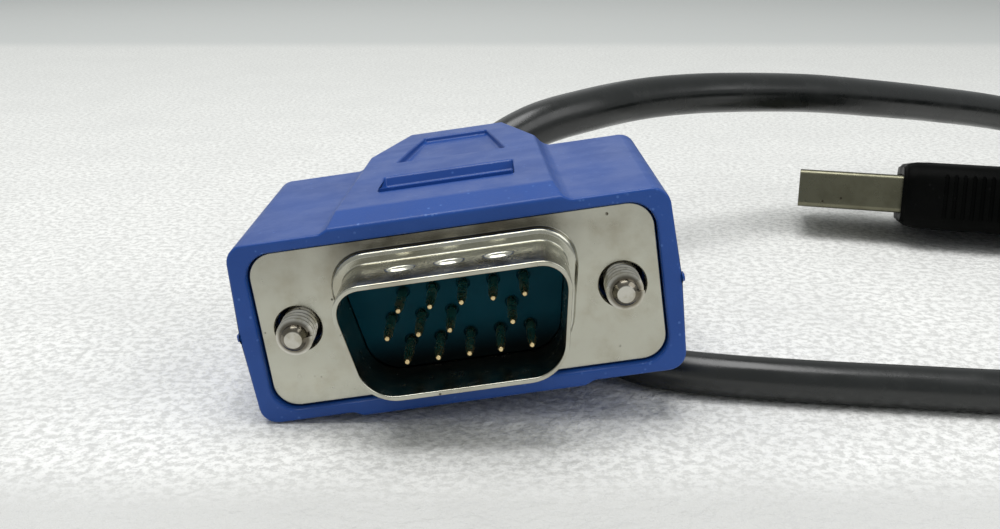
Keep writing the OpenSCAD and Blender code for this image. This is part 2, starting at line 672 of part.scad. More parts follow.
// Place of the lights as a share of the socket's width, and of the contacts' feet as one of its depth
light_place_share = 0.33;
spring_foot_share = 0.25;
light_z = socket_z + socket_h + (jack_h - socket_floor - socket_h - light_h) / 2;
module light_places() for (side = [-1, 1])
    translate([module_l - light_l, side * socket_w * light_place_share, light_z]) children();
module network_jack() color("#1d1e20") on_module() difference() {
    translate([jack_x, -jack_w / 2, board_top]) cube([jack_l, jack_w, jack_h]);
    translate([module_l - socket_l, -socket_w / 2, socket_z]) cube([socket_l + over, socket_w, socket_h]);
    translate([module_l - socket_l, -latch_w / 2, socket_z - latch_h])
        cube([socket_l + over, latch_w, latch_h + over]);
    light_places() translate([0, -light_w / 2, 0]) cube([light_l + over, light_w, light_h]);
}
module network_lights() color("palegreen") on_module()
    light_places() translate([fit, fit - light_w / 2, fit])
        cube([light_l - fit, light_w - 2 * fit, light_h - 2 * fit]);
module network_jack_shield() color("silver") on_module() difference() {
    translate([jack_x - jack_sheet - fit, -jack_w / 2 - jack_sheet - fit, board_top])
        cube([jack_l + fit, jack_w + 2 * (jack_sheet + fit), jack_h + jack_sheet + fit]);
    translate([jack_x - fit, -jack_w / 2 - fit, board_top - over])
        cube([jack_l + over, jack_w + 2 * fit, jack_h + over + fit]);
}

// Contact springs that slope down into the socket
network_ways = 8;
network_pitch = 1.02;
spring_w = 0.45;
spring_drop = 2.2;
module network_contacts() color("gold") on_module() for (i = [0 : network_ways - 1]) {
    right = (i - (network_ways - 1) / 2) * network_pitch + spring_w / 2;
    foot = -socket_l * spring_foot_share;
    end = fit - socket_l;
    translate([module_l, right, socket_z + socket_h - fit]) rotate([90, 0, 0]) linear_extrude(spring_w)
        polygon([[foot, 0], [end, -spring_drop], [end, -spring_drop - spring_w], [foot, -spring_w]]);
}

module on_lead_end() on_module() translate([0, 0, lead_z]) rotate([0, 90, 0]) children();
module cable_grommet() color("#1b1c1e") on_lead_end() difference() {
    union() {
        translate([0, 0, -grommet_t]) cylinder(d = grommet_d, h = grommet_t);
        cylinder(d = neck_d, h = case_wall + grommet_t);
        translate([0, 0, case_wall + fit]) cylinder(d = grommet_d, h = grommet_t - fit);
    }
    translate([0, 0, -grommet_t - over])
        cylinder(d = main_d + 2 * fit, h = case_wall + 2 * (grommet_t + over));
}
module module_cable_root() color("dimgray") on_lead_end()
    translate([0, 0, -grommet_t]) cylinder(d = main_d, h = header_x + grommet_t);
module board_header() color("ivory") on_module()
    translate([header_x, -header_size.y / 2, board_top]) cube(header_size);

chip_h = 1.4;
crystal_h = 3;
capacitor_h = 7;
capacitor_d_share = 0.15;

// Flat components on the board: places as shares of the field and the width, sizes as shares of its span
module flat_parts(places, w_share, l_share, h) in_field(places) translate([0, 0, board_top + h / 2])
    cube([w_share * part_span, l_share * part_span, h], center = true);
module main_chip() color("#26272a") on_module() flat_parts([[0.55, 0.02]], 0.38, 0.38, chip_h);
module video_chip() color("#26272a") on_module() flat_parts([[0.29, -0.22]], 0.22, 0.22, chip_h);
module crystal() color("silver") on_module() flat_parts([[0.27, 0.25]], 0.14, 0.28, crystal_h);
module inductors() color("#3b3c40") on_module()
    flat_parts([[0.48, -0.36], [0.24, 0.02]], 0.15, 0.15, crystal_h);
module capacitors() color("royalblue") on_module() in_field([[0.56, 0.33], [0.075, -0.02], [0.62, -0.22]])
    translate([0, 0, board_top]) cylinder(d = capacitor_d_share * part_span, h = capacitor_h);

vga_hood();
vga_front_shell();
vga_rear_shell();
vga_insulator();
vga_pins();
vga_shield_can();
vga_core_wires();
vga_inner_mould();
main_cable_root();
usb_cable_root();
left_jackscrew();
right_jackscrew();
left_thumb_knob();
right_thumb_knob();
left_retaining_ring();
right_retaining_ring();
main_cable();
usb_cable();
usb_shell();
usb_tongue();
usb_contacts();
usb_overmould();
usb_relief();
usb_wires();
module_base();
module_lid();
module_board();
network_jack();
network_jack_shield();
network_contacts();
network_lights();
cable_grommet();
module_cable_root();
board_header();
main_chip();
video_chip();
crystal();
capacitors();
inductors();
case_screws();
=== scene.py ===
"""Looks of the server interface unit: a video plug, a serial plug and an inline module on two leads.

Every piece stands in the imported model's frame. The leads are curves in that frame. The other pieces are
drawn in millimetres in the frame of their sub-assembly, and settled into the shared frame in metres as the
last step of their making.
"""

import logging
import math
from dataclasses import dataclass
from enum import Enum
from typing import Callable, Iterable, Sequence

import bmesh
import bpy
from mathutils import Matrix, Vector


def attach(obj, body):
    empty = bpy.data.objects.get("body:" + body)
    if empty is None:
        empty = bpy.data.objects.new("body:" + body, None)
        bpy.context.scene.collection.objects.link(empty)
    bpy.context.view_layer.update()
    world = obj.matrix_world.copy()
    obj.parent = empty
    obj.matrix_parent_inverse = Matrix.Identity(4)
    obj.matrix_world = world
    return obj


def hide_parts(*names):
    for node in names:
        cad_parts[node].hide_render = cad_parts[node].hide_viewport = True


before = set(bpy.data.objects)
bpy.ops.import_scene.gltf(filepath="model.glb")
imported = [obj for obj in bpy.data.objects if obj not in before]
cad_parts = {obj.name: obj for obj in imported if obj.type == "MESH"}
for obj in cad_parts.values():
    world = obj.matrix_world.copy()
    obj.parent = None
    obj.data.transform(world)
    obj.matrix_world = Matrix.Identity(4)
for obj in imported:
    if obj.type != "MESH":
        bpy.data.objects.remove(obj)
log = logging.getLogger("server_interface")

MM = 0.001
FLOOR_Z = -9.5
SCREW_X = 12.5
SHELL_SLANT = math.radians(10)
Point = Sequence[float]
Piece = bpy.types.Object
Socket = bpy.types.NodeSocket


# Places of the sub-assemblies, in millimetres and degrees


class Seat(Enum):
    """The frames in which sub-assemblies are drawn: place and turn in the shared frame."""

    PLUG = ((0.0, 0.0, 0.0), 0.0, -8.2)
    SERIAL = ((41.6, 57.5, -4.4), -107.0, -12.0)
    MODULE = ((137.0, 62.0, FLOOR_Z), -90.0, 0.0)

    def matrix(self) -> Matrix:
        """The frame's place in the shared frame, in millimetres."""
        place, turn, roll = self.value
        return (
            Matrix.Translation(Vector(place))
            @ Matrix.Rotation(math.radians(turn), 4, "Z")
            @ Matrix.Rotation(math.radians(roll), 4, "Y")
        )


# Modelling tools


class Bench:
    """Modelling tools, which work on one piece at a time."""

    @staticmethod
    def clear() -> None:
        """Deselects every object and leaves edit mode."""
        if bpy.context.object and bpy.context.object.mode != "OBJECT":
            bpy.ops.object.mode_set(mode="OBJECT")
        bpy.ops.object.select_all(action="DESELECT")

    @staticmethod
    def hold(piece: Piece) -> None:
        """Makes a piece the only selected and the active object."""
        Bench.clear()
        piece.select_set(True)
        bpy.context.view_layer.objects.active = piece

    @staticmethod
    def apply(piece: Piece) -> None:
        """Puts a piece's place, turn and size into its mesh."""
        Bench.hold(piece)
        bpy.ops.object.transform_apply(location=True, rotation=True, scale=True)

    @staticmethod
    def edit(piece: Piece) -> None:
        """Opens a piece in edit mode with nothing selected."""
        Bench.hold(piece)
        bpy.ops.object.mode_set(mode="EDIT")
        bpy.ops.mesh.select_all(action="DESELECT")

    @staticmethod
    def close() -> None:
        """Leaves edit mode."""
        bpy.ops.object.mode_set(mode="OBJECT")

    @staticmethod
    def box(name: str, low: Point, high: Point) -> Piece:
        """Adds a box between two corners.

        Args:
            name: The new object's name.
            low: Its lowest corner.
            high: Its highest corner.

        Returns:
            The box, with its size and place in its mesh.
        """
        Bench.clear()
        a, b = Vector(low), Vector(high)
        bpy.ops.mesh.primitive_cube_add(size=1, location=(a + b) / 2)
        made = bpy.context.object
        made.name = name
        made.scale = b - a
        Bench.apply(made)
        return made

    @staticmethod
    def rod(name: str, radius: float, start: Point, end: Point, corners: int = 32) -> Piece:
        """Adds a round rod between two points.

        Args:
            name: The new object's name.
            radius: Its radius.
            start: The centre of its first face.
            end: The centre of its last face.
            corners: How many corners its faces have.

        Returns:
            The rod, with its size and place in its mesh.
        """
        Bench.clear()
        a, b = Vector(start), Vector(end)
        bpy.ops.mesh.primitive_cylinder_add(vertices=corners, radius=radius, depth=(b - a).length)
        made = bpy.context.object
        made.name = name
        made.rotation_mode = "QUATERNION"
        made.rotation_quaternion = (b - a).to_track_quat("Z", "Y")
        made.location = (a + b) / 2
        Bench.apply(made)
        return made

    @staticmethod
    def pick(kind: str, wanted: Callable[[bmesh.types.BMesh], Iterable]) -> None:
        """Selects some elements of the open mesh, and nothing else.

        Args:
            kind: VERT, EDGE or FACE.
            wanted: Gives the elements of the mesh that are selected.
        """
        bpy.ops.mesh.select_mode(type=kind)
        bpy.ops.mesh.select_all(action="DESELECT")
        mesh = bmesh.from_edit_mesh(bpy.context.object.data)
        for element in wanted(mesh):
            element.select_set(True)
        mesh.select_flush_mode()
        bmesh.update_edit_mesh(bpy.context.object.data)

    @staticmethod
    def pick_faces(test: Callable[[Vector, Vector], bool]) -> None:
        """Selects, in edit mode, the faces whose centre and normal pass a test."""
        Bench.pick("FACE", lambda m: [f for f in m.faces if test(f.calc_center_median(), f.normal)])

    @staticmethod
    def pick_edges(test: Callable[[Vector, Vector], bool]) -> None:
        """Selects, in edit mode, the edges whose two ends pass a test."""
        Bench.pick("EDGE", lambda m: [e for e in m.edges if test(e.verts[0].co, e.verts[1].co)])

    @staticmethod
    def pick_corners(test: Callable[[Vector], bool]) -> None:
        """Selects, in edit mode, the vertices that pass a test."""
        Bench.pick("VERT", lambda m: [v for v in m.verts if test(v.co)])

    @staticmethod
    def split(place: Point, normal: Point) -> None:
        """Cuts the whole open mesh along a plane, and keeps both sides."""
        bpy.ops.mesh.select_all(action="SELECT")
        bpy.ops.mesh.bisect(plane_co=place, plane_no=Vector(normal).normalized(), threshold=1e-5)
        bpy.ops.mesh.select_all(action="DESELECT")

    @staticmethod
    def move(by: Point) -> None:
        """Moves what is selected in edit mode."""
        bpy.ops.transform.translate(value=by)

    @staticmethod
    def stretch(by: Point, about: Point) -> None:
        """Scales what is selected in edit mode about a point."""
        bpy.ops.transform.resize(value=by, center_override=about)

    @staticmethod
    def pull(by: Point) -> None:
        """Extrudes the selected faces and moves them."""
        bpy.ops.mesh.extrude_region_move(TRANSFORM_OT_translate={"value": by})

    @staticmethod
    def round_picked(width: float, steps: int = 3) -> None:
        """Bevels the selected edges."""
        bpy.ops.mesh.bevel(offset=width, segments=steps, affect="EDGES", clamp_overlap=True)

    @staticmethod
    def weld(piece: Piece, gap: float = 1e-4) -> None:
        """Merges doubles and turns all faces outwards."""
        Bench.edit(piece)
        bpy.ops.mesh.select_all(action="SELECT")
        bpy.ops.mesh.remove_doubles(threshold=gap)
        bpy.ops.mesh.normals_make_consistent(inside=False)
        Bench.close()

    @staticmethod
    def join(name: str, parts: Sequence[Piece]) -> Piece:
        """Joins parts into the first of them, and names it."""
        Bench.hold(parts[0])
        for part in parts:
            part.select_set(True)
        if len(parts) > 1:
            bpy.ops.object.join()
        parts[0].name = name
        return parts[0]

    @staticmethod
    def twin(piece: Piece, name: str, by: Point = (0, 0, 0)) -> Piece:
        """Copies a piece with its own mesh, and moves the copy.

        Args:
            piece: What is copied.
            name: The copy's name.
            by: How far the copy is moved.

        Returns:
            The copy.
        """
        Bench.hold(piece)
        bpy.ops.object.duplicate(linked=False)
        made = bpy.context.object
        made.name = name
        made.location = Vector(by)
        Bench.apply(made)
        return made

    @staticmethod
    def combine(piece: Piece, tools: Iterable[Piece], operation: str) -> None:
        """Joins solids to a piece, or cuts them out of it, and removes them.

        Args:
            piece: The piece that is changed.
            tools: The solids that are used up.
            operation: UNION or DIFFERENCE.
        """
        for tool in tools:
            Bench.hold(piece)
            modifier = piece.modifiers.new("combine", "BOOLEAN")
            modifier.operation = operation
            modifier.solver = "EXACT"
            modifier.object = tool
            bpy.ops.object.modifier_apply(modifier=modifier.name)
            bpy.data.objects.remove(tool)

    @staticmethod
    def soften(piece: Piece, width: float, steps: int = 2, angle: float = 30.0) -> None:
        """Rounds every edge of a piece that is sharper than an angle.

        Args:
            piece: The piece that is changed.
            width: The width of the rounding.
            steps: How many faces it has across.
            angle: Edges that turn by less than this, in degrees, stay as they are.
        """
        Bench.hold(piece)
        modifier = piece.modifiers.new("soften", "BEVEL")
        modifier.width = width
        modifier.segments = steps
        modifier.limit_method = "ANGLE"
        modifier.angle_limit = math.radians(angle)
        modifier.use_clamp_overlap = False
        modifier.harden_normals = False
        modifier.miter_outer = "MITER_ARC"
        bpy.ops.object.modifier_apply(modifier=modifier.name)

    @staticmethod
    def smooth(piece: Piece, angle: float = 40.0) -> Piece:
        """Shades a piece smooth below an angle in degrees, keeps its broad faces flat, and returns it."""
        Bench.hold(piece)
        bpy.ops.object.shade_smooth_by_angle(angle=math.radians(angle))
        modifier = piece.modifiers.new("flat_faces", "WEIGHTED_NORMAL")
        modifier.keep_sharp = True
        bpy.ops.object.modifier_apply(modifier=modifier.name)
        return piece

    @staticmethod
    def refine(
        piece: Piece,
        width: float,
        steps: int = 2,
        limit: float = 40.0,
        angle: float = 40.0,
        gap: float = 1e-3,
    ) -> Piece:
        """Welds, rounds and shades a piece.

        Args:
            piece: The piece that is changed.
            width: The width of the rounding.
            steps: How many faces the rounding has across.
            limit: Edges that turn by less than this, in degrees, aren't rounded.
            angle: Faces that meet below this, in degrees, are shaded smooth.
            gap: Corners closer than this are merged; 0 leaves them.

        Returns:
            The piece.
        """
        if gap:
            Bench.weld(piece, gap)
        Bench.soften(piece, width, steps, limit)
        return Bench.smooth(piece, angle)


def settle(piece: Piece, seat: Seat, body: str, slot: str, *nodes: str) -> Piece:
    """Puts a finished piece into the shared frame, in metres, on its body.

    Args:
        piece: The piece, drawn in millimetres in its sub-assembly's frame.
        seat: That frame.
        body: The body that it rides on.
        slot: The record's material slot; not used.
        nodes: The nodes that it stands for.

    Returns:
        The piece.
    """
    piece.matrix_world = Matrix.Scale(MM, 4) @ seat.matrix()
    Bench.apply(piece)
    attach(piece, body)
    if nodes:
        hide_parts(*nodes)
    log.info("%s: %d faces, for %s", piece.name, len(piece.data.polygons), ", ".join(nodes) or "no node")
    return piece


# Finishes


class NodeSheet:
    """Short names for the nodes of one material."""

    def __init__(self, name: str) -> None:
        """Makes an empty node material.

        Args:
            name: The material's name.
        """
        self.material = bpy.data.materials.new(f"{name}_finish")
        self.material.use_nodes = True
        self.tree = self.material.node_tree
        self.tree.nodes.clear()
        self.output = self.tree.nodes.new("ShaderNodeOutputMaterial")
        self.shader = self.tree.nodes.new("ShaderNodeBsdfPrincipled")
        self.tree.links.new(self.shader.outputs[0], self.output.inputs["Surface"])
        self.coords = self.tree.nodes.new("ShaderNodeTexCoord").outputs["Object"]

    def link(self, source: Socket, node: bpy.types.Node, socket: str) -> None:
        """Links a socket to an input of a node."""
        self.tree.links.new(source, node.inputs[socket])

    def noise(self, size: float, detail: float = 3.0, rough: float = 0.55) -> Socket:
        """Noise whose patches are about a size across.

        Args:
            size: The size in millimetres.
            detail: How many finer layers it has.
            rough: How strong the finer layers are.

        Returns:
            Its value, about 0.5 on average.
        """
        node = self.tree.nodes.new("ShaderNodeTexNoise")
        node.inputs["Scale"].default_value = 1 / (size * MM)
        node.inputs["Detail"].default_value = detail
        node.inputs["Roughness"].default_value = rough
        self.link(self.coords, node, "Vector")
        return node.outputs["Fac"]

    def specks(self, size: float, edge: float) -> Socket:
        """Round specks in cells of a size: 1 in the specks and 0 between them.

        Args:
            size: The size of a cell in millimetres.
            edge: The radius of a speck, as a share of its cell.

        Returns:
            The mask.
        """
        node = self.tree.nodes.new("ShaderNodeTexVoronoi")
        node.inputs["Scale"].default_value = 1 / (size * MM)
        self.link(self.coords, node, "Vector")
        return self.ramp(node.outputs["Distance"], (edge * 0.6, 1.0), (edge, 0.0))

    def ramp(self, source: Socket, low: Point, high: Point) -> Socket:
        """Maps a value smoothly from one range to another.

        Args:
            source: The value.
            low: The lower end of the range, and what it becomes.
            high: The upper end of the range, and what it becomes.

        Returns:
            The mapped value.
        """
        node = self.tree.nodes.new("ShaderNodeMapRange")
        node.interpolation_type = "SMOOTHSTEP"
        for socket, value in zip(("From Min", "To Min", "From Max", "To Max"), (*low, *high)):
            node.inputs[socket].default_value = value
        self.link(source, node, "Value")
        return node.outputs["Result"]

    def rolled(self) -> tuple[Socket, Socket, Socket]:
        """The place in the rolled video plug: the distance from its middle plane, Y and Z."""
        turned_coords = self.tree.nodes.new("ShaderNodeMapping")
        turned_coords.inputs["Rotation"].default_value = (0, math.radians(-Seat.PLUG.value[2]), 0)
        self.link(self.coords, turned_coords, "Vector")
        split = self.tree.nodes.new("ShaderNodeSeparateXYZ")
        self.link(turned_coords.outputs["Vector"], split, "Vector")
        return self.compute("ABSOLUTE", split.outputs["X"]), split.outputs["Y"], split.outputs["Z"]

    def compute(self, kind: str, value: Socket, other: float = 0.0) -> Socket:
        """A value through a math node.

        Args:
            kind: The node's operation.
            value: The value.
            other: The second operand.

        Returns:
            The result.
        """
        node = self.tree.nodes.new("ShaderNodeMath")
        node.operation = kind
        node.inputs[1].default_value = other
        self.link(value, node, 0)
        return node.outputs[0]

    def lip_shade_mask(self, most: float) -> Socket:
        """The mask of the painted shade under the hood's lip: it grows from 0 towards the flange's upper
        edge, most of all above the plug's shell.

        Args:
            most: Its full value.

        Returns:
            The value.
        """
        aside, depth, height = self.rolled()
        on_flange = self.ramp(depth, (-0.5 * MM, 0.0), (-0.05 * MM, most))
        raised = self.ramp(height, (1.0 * MM, 0.0), (6.4 * MM, 1.0))
        over_shell = self.ramp(aside, (7.0 * MM, 1.0), (10.5 * MM, 0.3))
        return self.product(self.product(on_flange, raised), over_shell)

    def thread_shade_mask(self, most: float) -> Socket:
        """The mask of the painted shade in the roots of the jackscrews' threads: high there, and 0
        elsewhere.

        Args:
            most: Its full value.

        Returns:
            The value.
        """
        aside, depth, height = self.rolled()
        place = self.tree.nodes.new("ShaderNodeCombineXYZ")
        self.link(self.compute("SUBTRACT", aside, SCREW_X * MM), place, "X")
        self.link(height, place, "Z")
        reach = self.tree.nodes.new("ShaderNodeVectorMath")
        reach.operation = "LENGTH"
        self.link(place.outputs["Vector"], reach, 0)
        deep = self.ramp(reach.outputs["Value"], (1.08 * MM, most), (1.34 * MM, 0.0))
        behind_tip = self.ramp(depth, (-2.385 * MM, 0.0), (-2.36 * MM, 1.0))
        before_shank = self.ramp(depth, (5.0 * MM, 1.0), (5.2 * MM, 0.0))
        return self.product(deep, self.product(behind_tip, before_shank))

    def product(self, a: Socket, b: Socket) -> Socket:
        """The product of two values."""
        node = self.tree.nodes.new("ShaderNodeMath")
        node.operation = "MULTIPLY"
        self.tree.links.new(a, node.inputs[0])
        self.tree.links.new(b, node.inputs[1])
        return node.outputs[0]

    def blend(self, share: Socket, first: Point | Socket, second: Point | Socket) -> Socket:
        """Mixes two colours.

        Args:
            share: How much of the second shows.
            first: A colour, or a socket that gives one.
            second: The other.

        Returns:
            The mixed colour.
        """
        node = self.tree.nodes.new("ShaderNodeMix")
        node.data_type = "RGBA"
        self.tree.links.new(share, node.inputs["Factor"])
        for socket, colour in ((node.inputs[6], first), (node.inputs[7], second)):
            if isinstance(colour, Socket):
                self.tree.links.new(colour, socket)
            else:
                socket.default_value = (*colour, 1)
        return node.outputs[2]

    def relief(self, heights: Sequence[tuple[Socket, float, float]]) -> None:
        """Adds layers of bump to the shader.

        Args:
            heights: For each layer a height, its depth in millimetres and its strength.
        """
        normal = None
        for height, depth, strength in heights:
            node = self.tree.nodes.new("ShaderNodeBump")
            node.inputs["Strength"].default_value = strength
            node.inputs["Distance"].default_value = depth * MM
            self.link(height, node, "Height")
            if normal is not None:
                self.link(normal, node, "Normal")
            normal = node.outputs["Normal"]
        self.link(normal, self.shader, "Normal")

    def roughen(self, size: float, detail: float, limits: Point, top: float = 0.7) -> None:
        """Makes the roughness vary slowly.

        Args:
            size: The size of its patches in millimetres.
            detail: How many finer layers they have.
            limits: The lowest and highest roughness.
            top: The noise at which it is highest.
        """
        rough = self.ramp(self.noise(size, detail), (0.3, limits[0]), (top, limits[1]))
        self.link(rough, self.shader, "Roughness")

    def paint(self, colour: Socket) -> None:
        """Links a colour to the shader."""
        self.link(colour, self.shader, "Base Color")

    def set(self, **values: float | Point) -> None:
        """Sets constant values on the shader's own sockets."""
        for name, value in values.items():
            self.shader.inputs[name.replace("_", " ")].default_value = value


@dataclass(frozen=True)
class MouldedPlastic:
    """Moulded plastic or vinyl with a fine spark-eroded grain, faint mottling and rubbed specks.

    Attributes:
        name: The material's name.
        colour: Its linear colour.
        shade: The linear colour of its duller patches.
        speck: The linear colour of its specks.
        grain: The size of the grain in millimetres.
        depth: The depth of the grain in millimetres.
        roughness: The lowest and highest roughness.
        speck_size: The size of a speck's cell in millimetres.
        specular: The specular level.
        low_shade: How strongly painted shade darkens it towards the video plug's lower edge, where the shell
            shades it.
    """

    name: str
    colour: Point
    shade: Point
    speck: Point
    grain: float = 0.18
    depth: float = 0.02
    roughness: Point = (0.42, 0.56)
    speck_size: float = 0.55
    specular: float = 0.5
    low_shade: float = 0.0

    def make(self) -> bpy.types.Material:
        """Builds the material."""
        sheet = NodeSheet(self.name)
        patches = sheet.noise(6.0, 4.0)
        colour = sheet.blend(sheet.ramp(patches, (0.35, 0.0), (0.7, 1.0)), self.colour, self.shade)
        groups = sheet.ramp(sheet.noise(1.7, 2.0), (0.5, 0.0), (0.62, 0.8))
        colour = sheet.blend(sheet.product(sheet.specks(self.speck_size, 0.22), groups), colour, self.speck)
        # Painted shade: darkens towards the video plug's lower edge, inside the shell, to almost black.
        if self.low_shade:
            low = sheet.ramp(sheet.rolled()[2], (-3.8 * MM, self.low_shade), (-0.8 * MM, 0.0))
            colour = sheet.blend(low, colour, (0.0, 0.001, 0.001))
        sheet.paint(colour)
        sheet.roughen(3.0, 3.0, self.roughness)
        sheet.relief([(sheet.noise(self.grain, 2.0), self.depth, 0.6), (sheet.noise(4.0, 1.0), 0.015, 0.25)])
        sheet.set(Specular_IOR_Level=self.specular)
        return sheet.material


@dataclass(frozen=True)
class PlatedMetal:
    """Plated metal with a soft satin, stains, dark pits and fine rubbing marks.

    Attributes:
        name: The material's name.
        colour: Its linear colour.
        stain: The linear colour of its stains.
        pit: The linear colour of its pits, and of the painted shade under the hood's lip and in the
            jackscrews' thread roots.
        roughness: The lowest and highest roughness.
        stains: The size of the stains in millimetres.
        pits: The size of a pit's cell in millimetres.
        grain: The depth of its bump in millimetres.
        wave: The depth of its slow waviness in millimetres.
        lip_shade: How strongly painted shade darkens it towards the flange's upper edge, under the hood's
            lip.
        thread_shade: How strongly painted shade darkens it in the roots of the jackscrews' threads.
    """

    name: str
    colour: Point
    stain: Point
    pit: Point
    roughness: Point = (0.28, 0.42)
    stains: float = 3.5
    pits: float = 1.6
    grain: float = 0.006
    wave: float = 0.03
    lip_shade: float = 0.0
    thread_shade: float = 0.0

    def make(self) -> bpy.types.Material:
        """Builds the material."""
        sheet = NodeSheet(self.name)
        stained = sheet.ramp(sheet.noise(self.stains, 5.0, 0.6), (0.42, 0.0), (0.72, 1.0))
        colour = sheet.blend(stained, self.colour, self.stain)
        groups = sheet.ramp(sheet.noise(4.0, 2.0), (0.5, 0.0), (0.56, 1.0))
        colour = sheet.blend(sheet.product(sheet.specks(self.pits, 0.1), groups), colour, self.pit)
        # Painted shade under the hood's lip: the flange darkens to the pits' colour towards its upper edge,
        # in soft clouds.
        if self.lip_shade:
            cloudy = sheet.ramp(sheet.noise(5.0, 3.0), (0.3, 0.6), (0.6, 1.0))
            dark = sheet.product(sheet.lip_shade_mask(self.lip_shade), cloudy)
            colour = sheet.blend(dark, colour, self.pit)
        # Painted shade in the roots of the jackscrews' threads, in the pits' colour.
        if self.thread_shade:
            colour = sheet.blend(sheet.thread_shade_mask(self.thread_shade), colour, self.pit)
        sheet.paint(colour)
        sheet.roughen(1.2, 4.0, self.roughness, 0.72)
        sheet.relief([(sheet.noise(0.12, 3.0), self.grain, 0.5), (sheet.noise(2.6, 2.0), self.wave, 0.3)])
        sheet.set(Metallic=1.0)
        return sheet.material


@dataclass(frozen=True)
class LeadJacket:
    """Extruded vinyl jacket of a lead: nearly smooth, with faint draw marks and dust.

    Attributes:
        name: The material's name.
        colour: Its linear colour.
        dust: The linear colour of its dust.
        roughness: The lowest and highest roughness.
    """

    name: str
    colour: Point
    dust: Point
    roughness: Point = (0.36, 0.5)

    def make(self) -> bpy.types.Material:
        """Builds the material."""
        sheet = NodeSheet(self.name)
        clouds = sheet.ramp(sheet.noise(2.2, 5.0, 0.65), (0.5, 0.0), (0.8, 0.35))
        grains = sheet.ramp(sheet.noise(0.25, 2.0), (0.4, 0.2), (0.65, 1.0))
        sheet.paint(sheet.blend(sheet.product(clouds, grains), self.colour, self.dust))
        sheet.roughen(5.0, 3.0, self.roughness)
        sheet.relief([(sheet.noise(0.3, 2.0), 0.012, 0.5), (sheet.noise(7.0, 2.0), 0.1, 0.3)])
        sheet.set(Specular_IOR_Level=0.6)
        return sheet.material


@dataclass(frozen=True)
class CircuitBoard:
    """Solder-masked board with a faint pattern of tracks under the mask.

    Attributes:
        name: The material's name.
        colour: Its linear colour.
        track: The linear colour over the tracks.
    """

    name: str
    colour: Point
    track: Point

    def make(self) -> bpy.types.Material:
        """Builds the material."""
        sheet = NodeSheet(self.name)
        node = sheet.tree.nodes.new("ShaderNodeTexBrick")
        node.inputs["Scale"].default_value = 60
        node.inputs["Mortar Size"].default_value = 0.012
        sheet.link(sheet.coords, node, "Vector")
        lines = sheet.ramp(node.outputs["Fac"], (0.2, 0.0), (0.8, 1.0))
        sheet.paint(sheet.blend(lines, self.colour, self.track))
        sheet.roughen(2.0, 3.0, (0.22, 0.34))
        sheet.relief([(lines, 0.02, 0.4)])
        return sheet.material


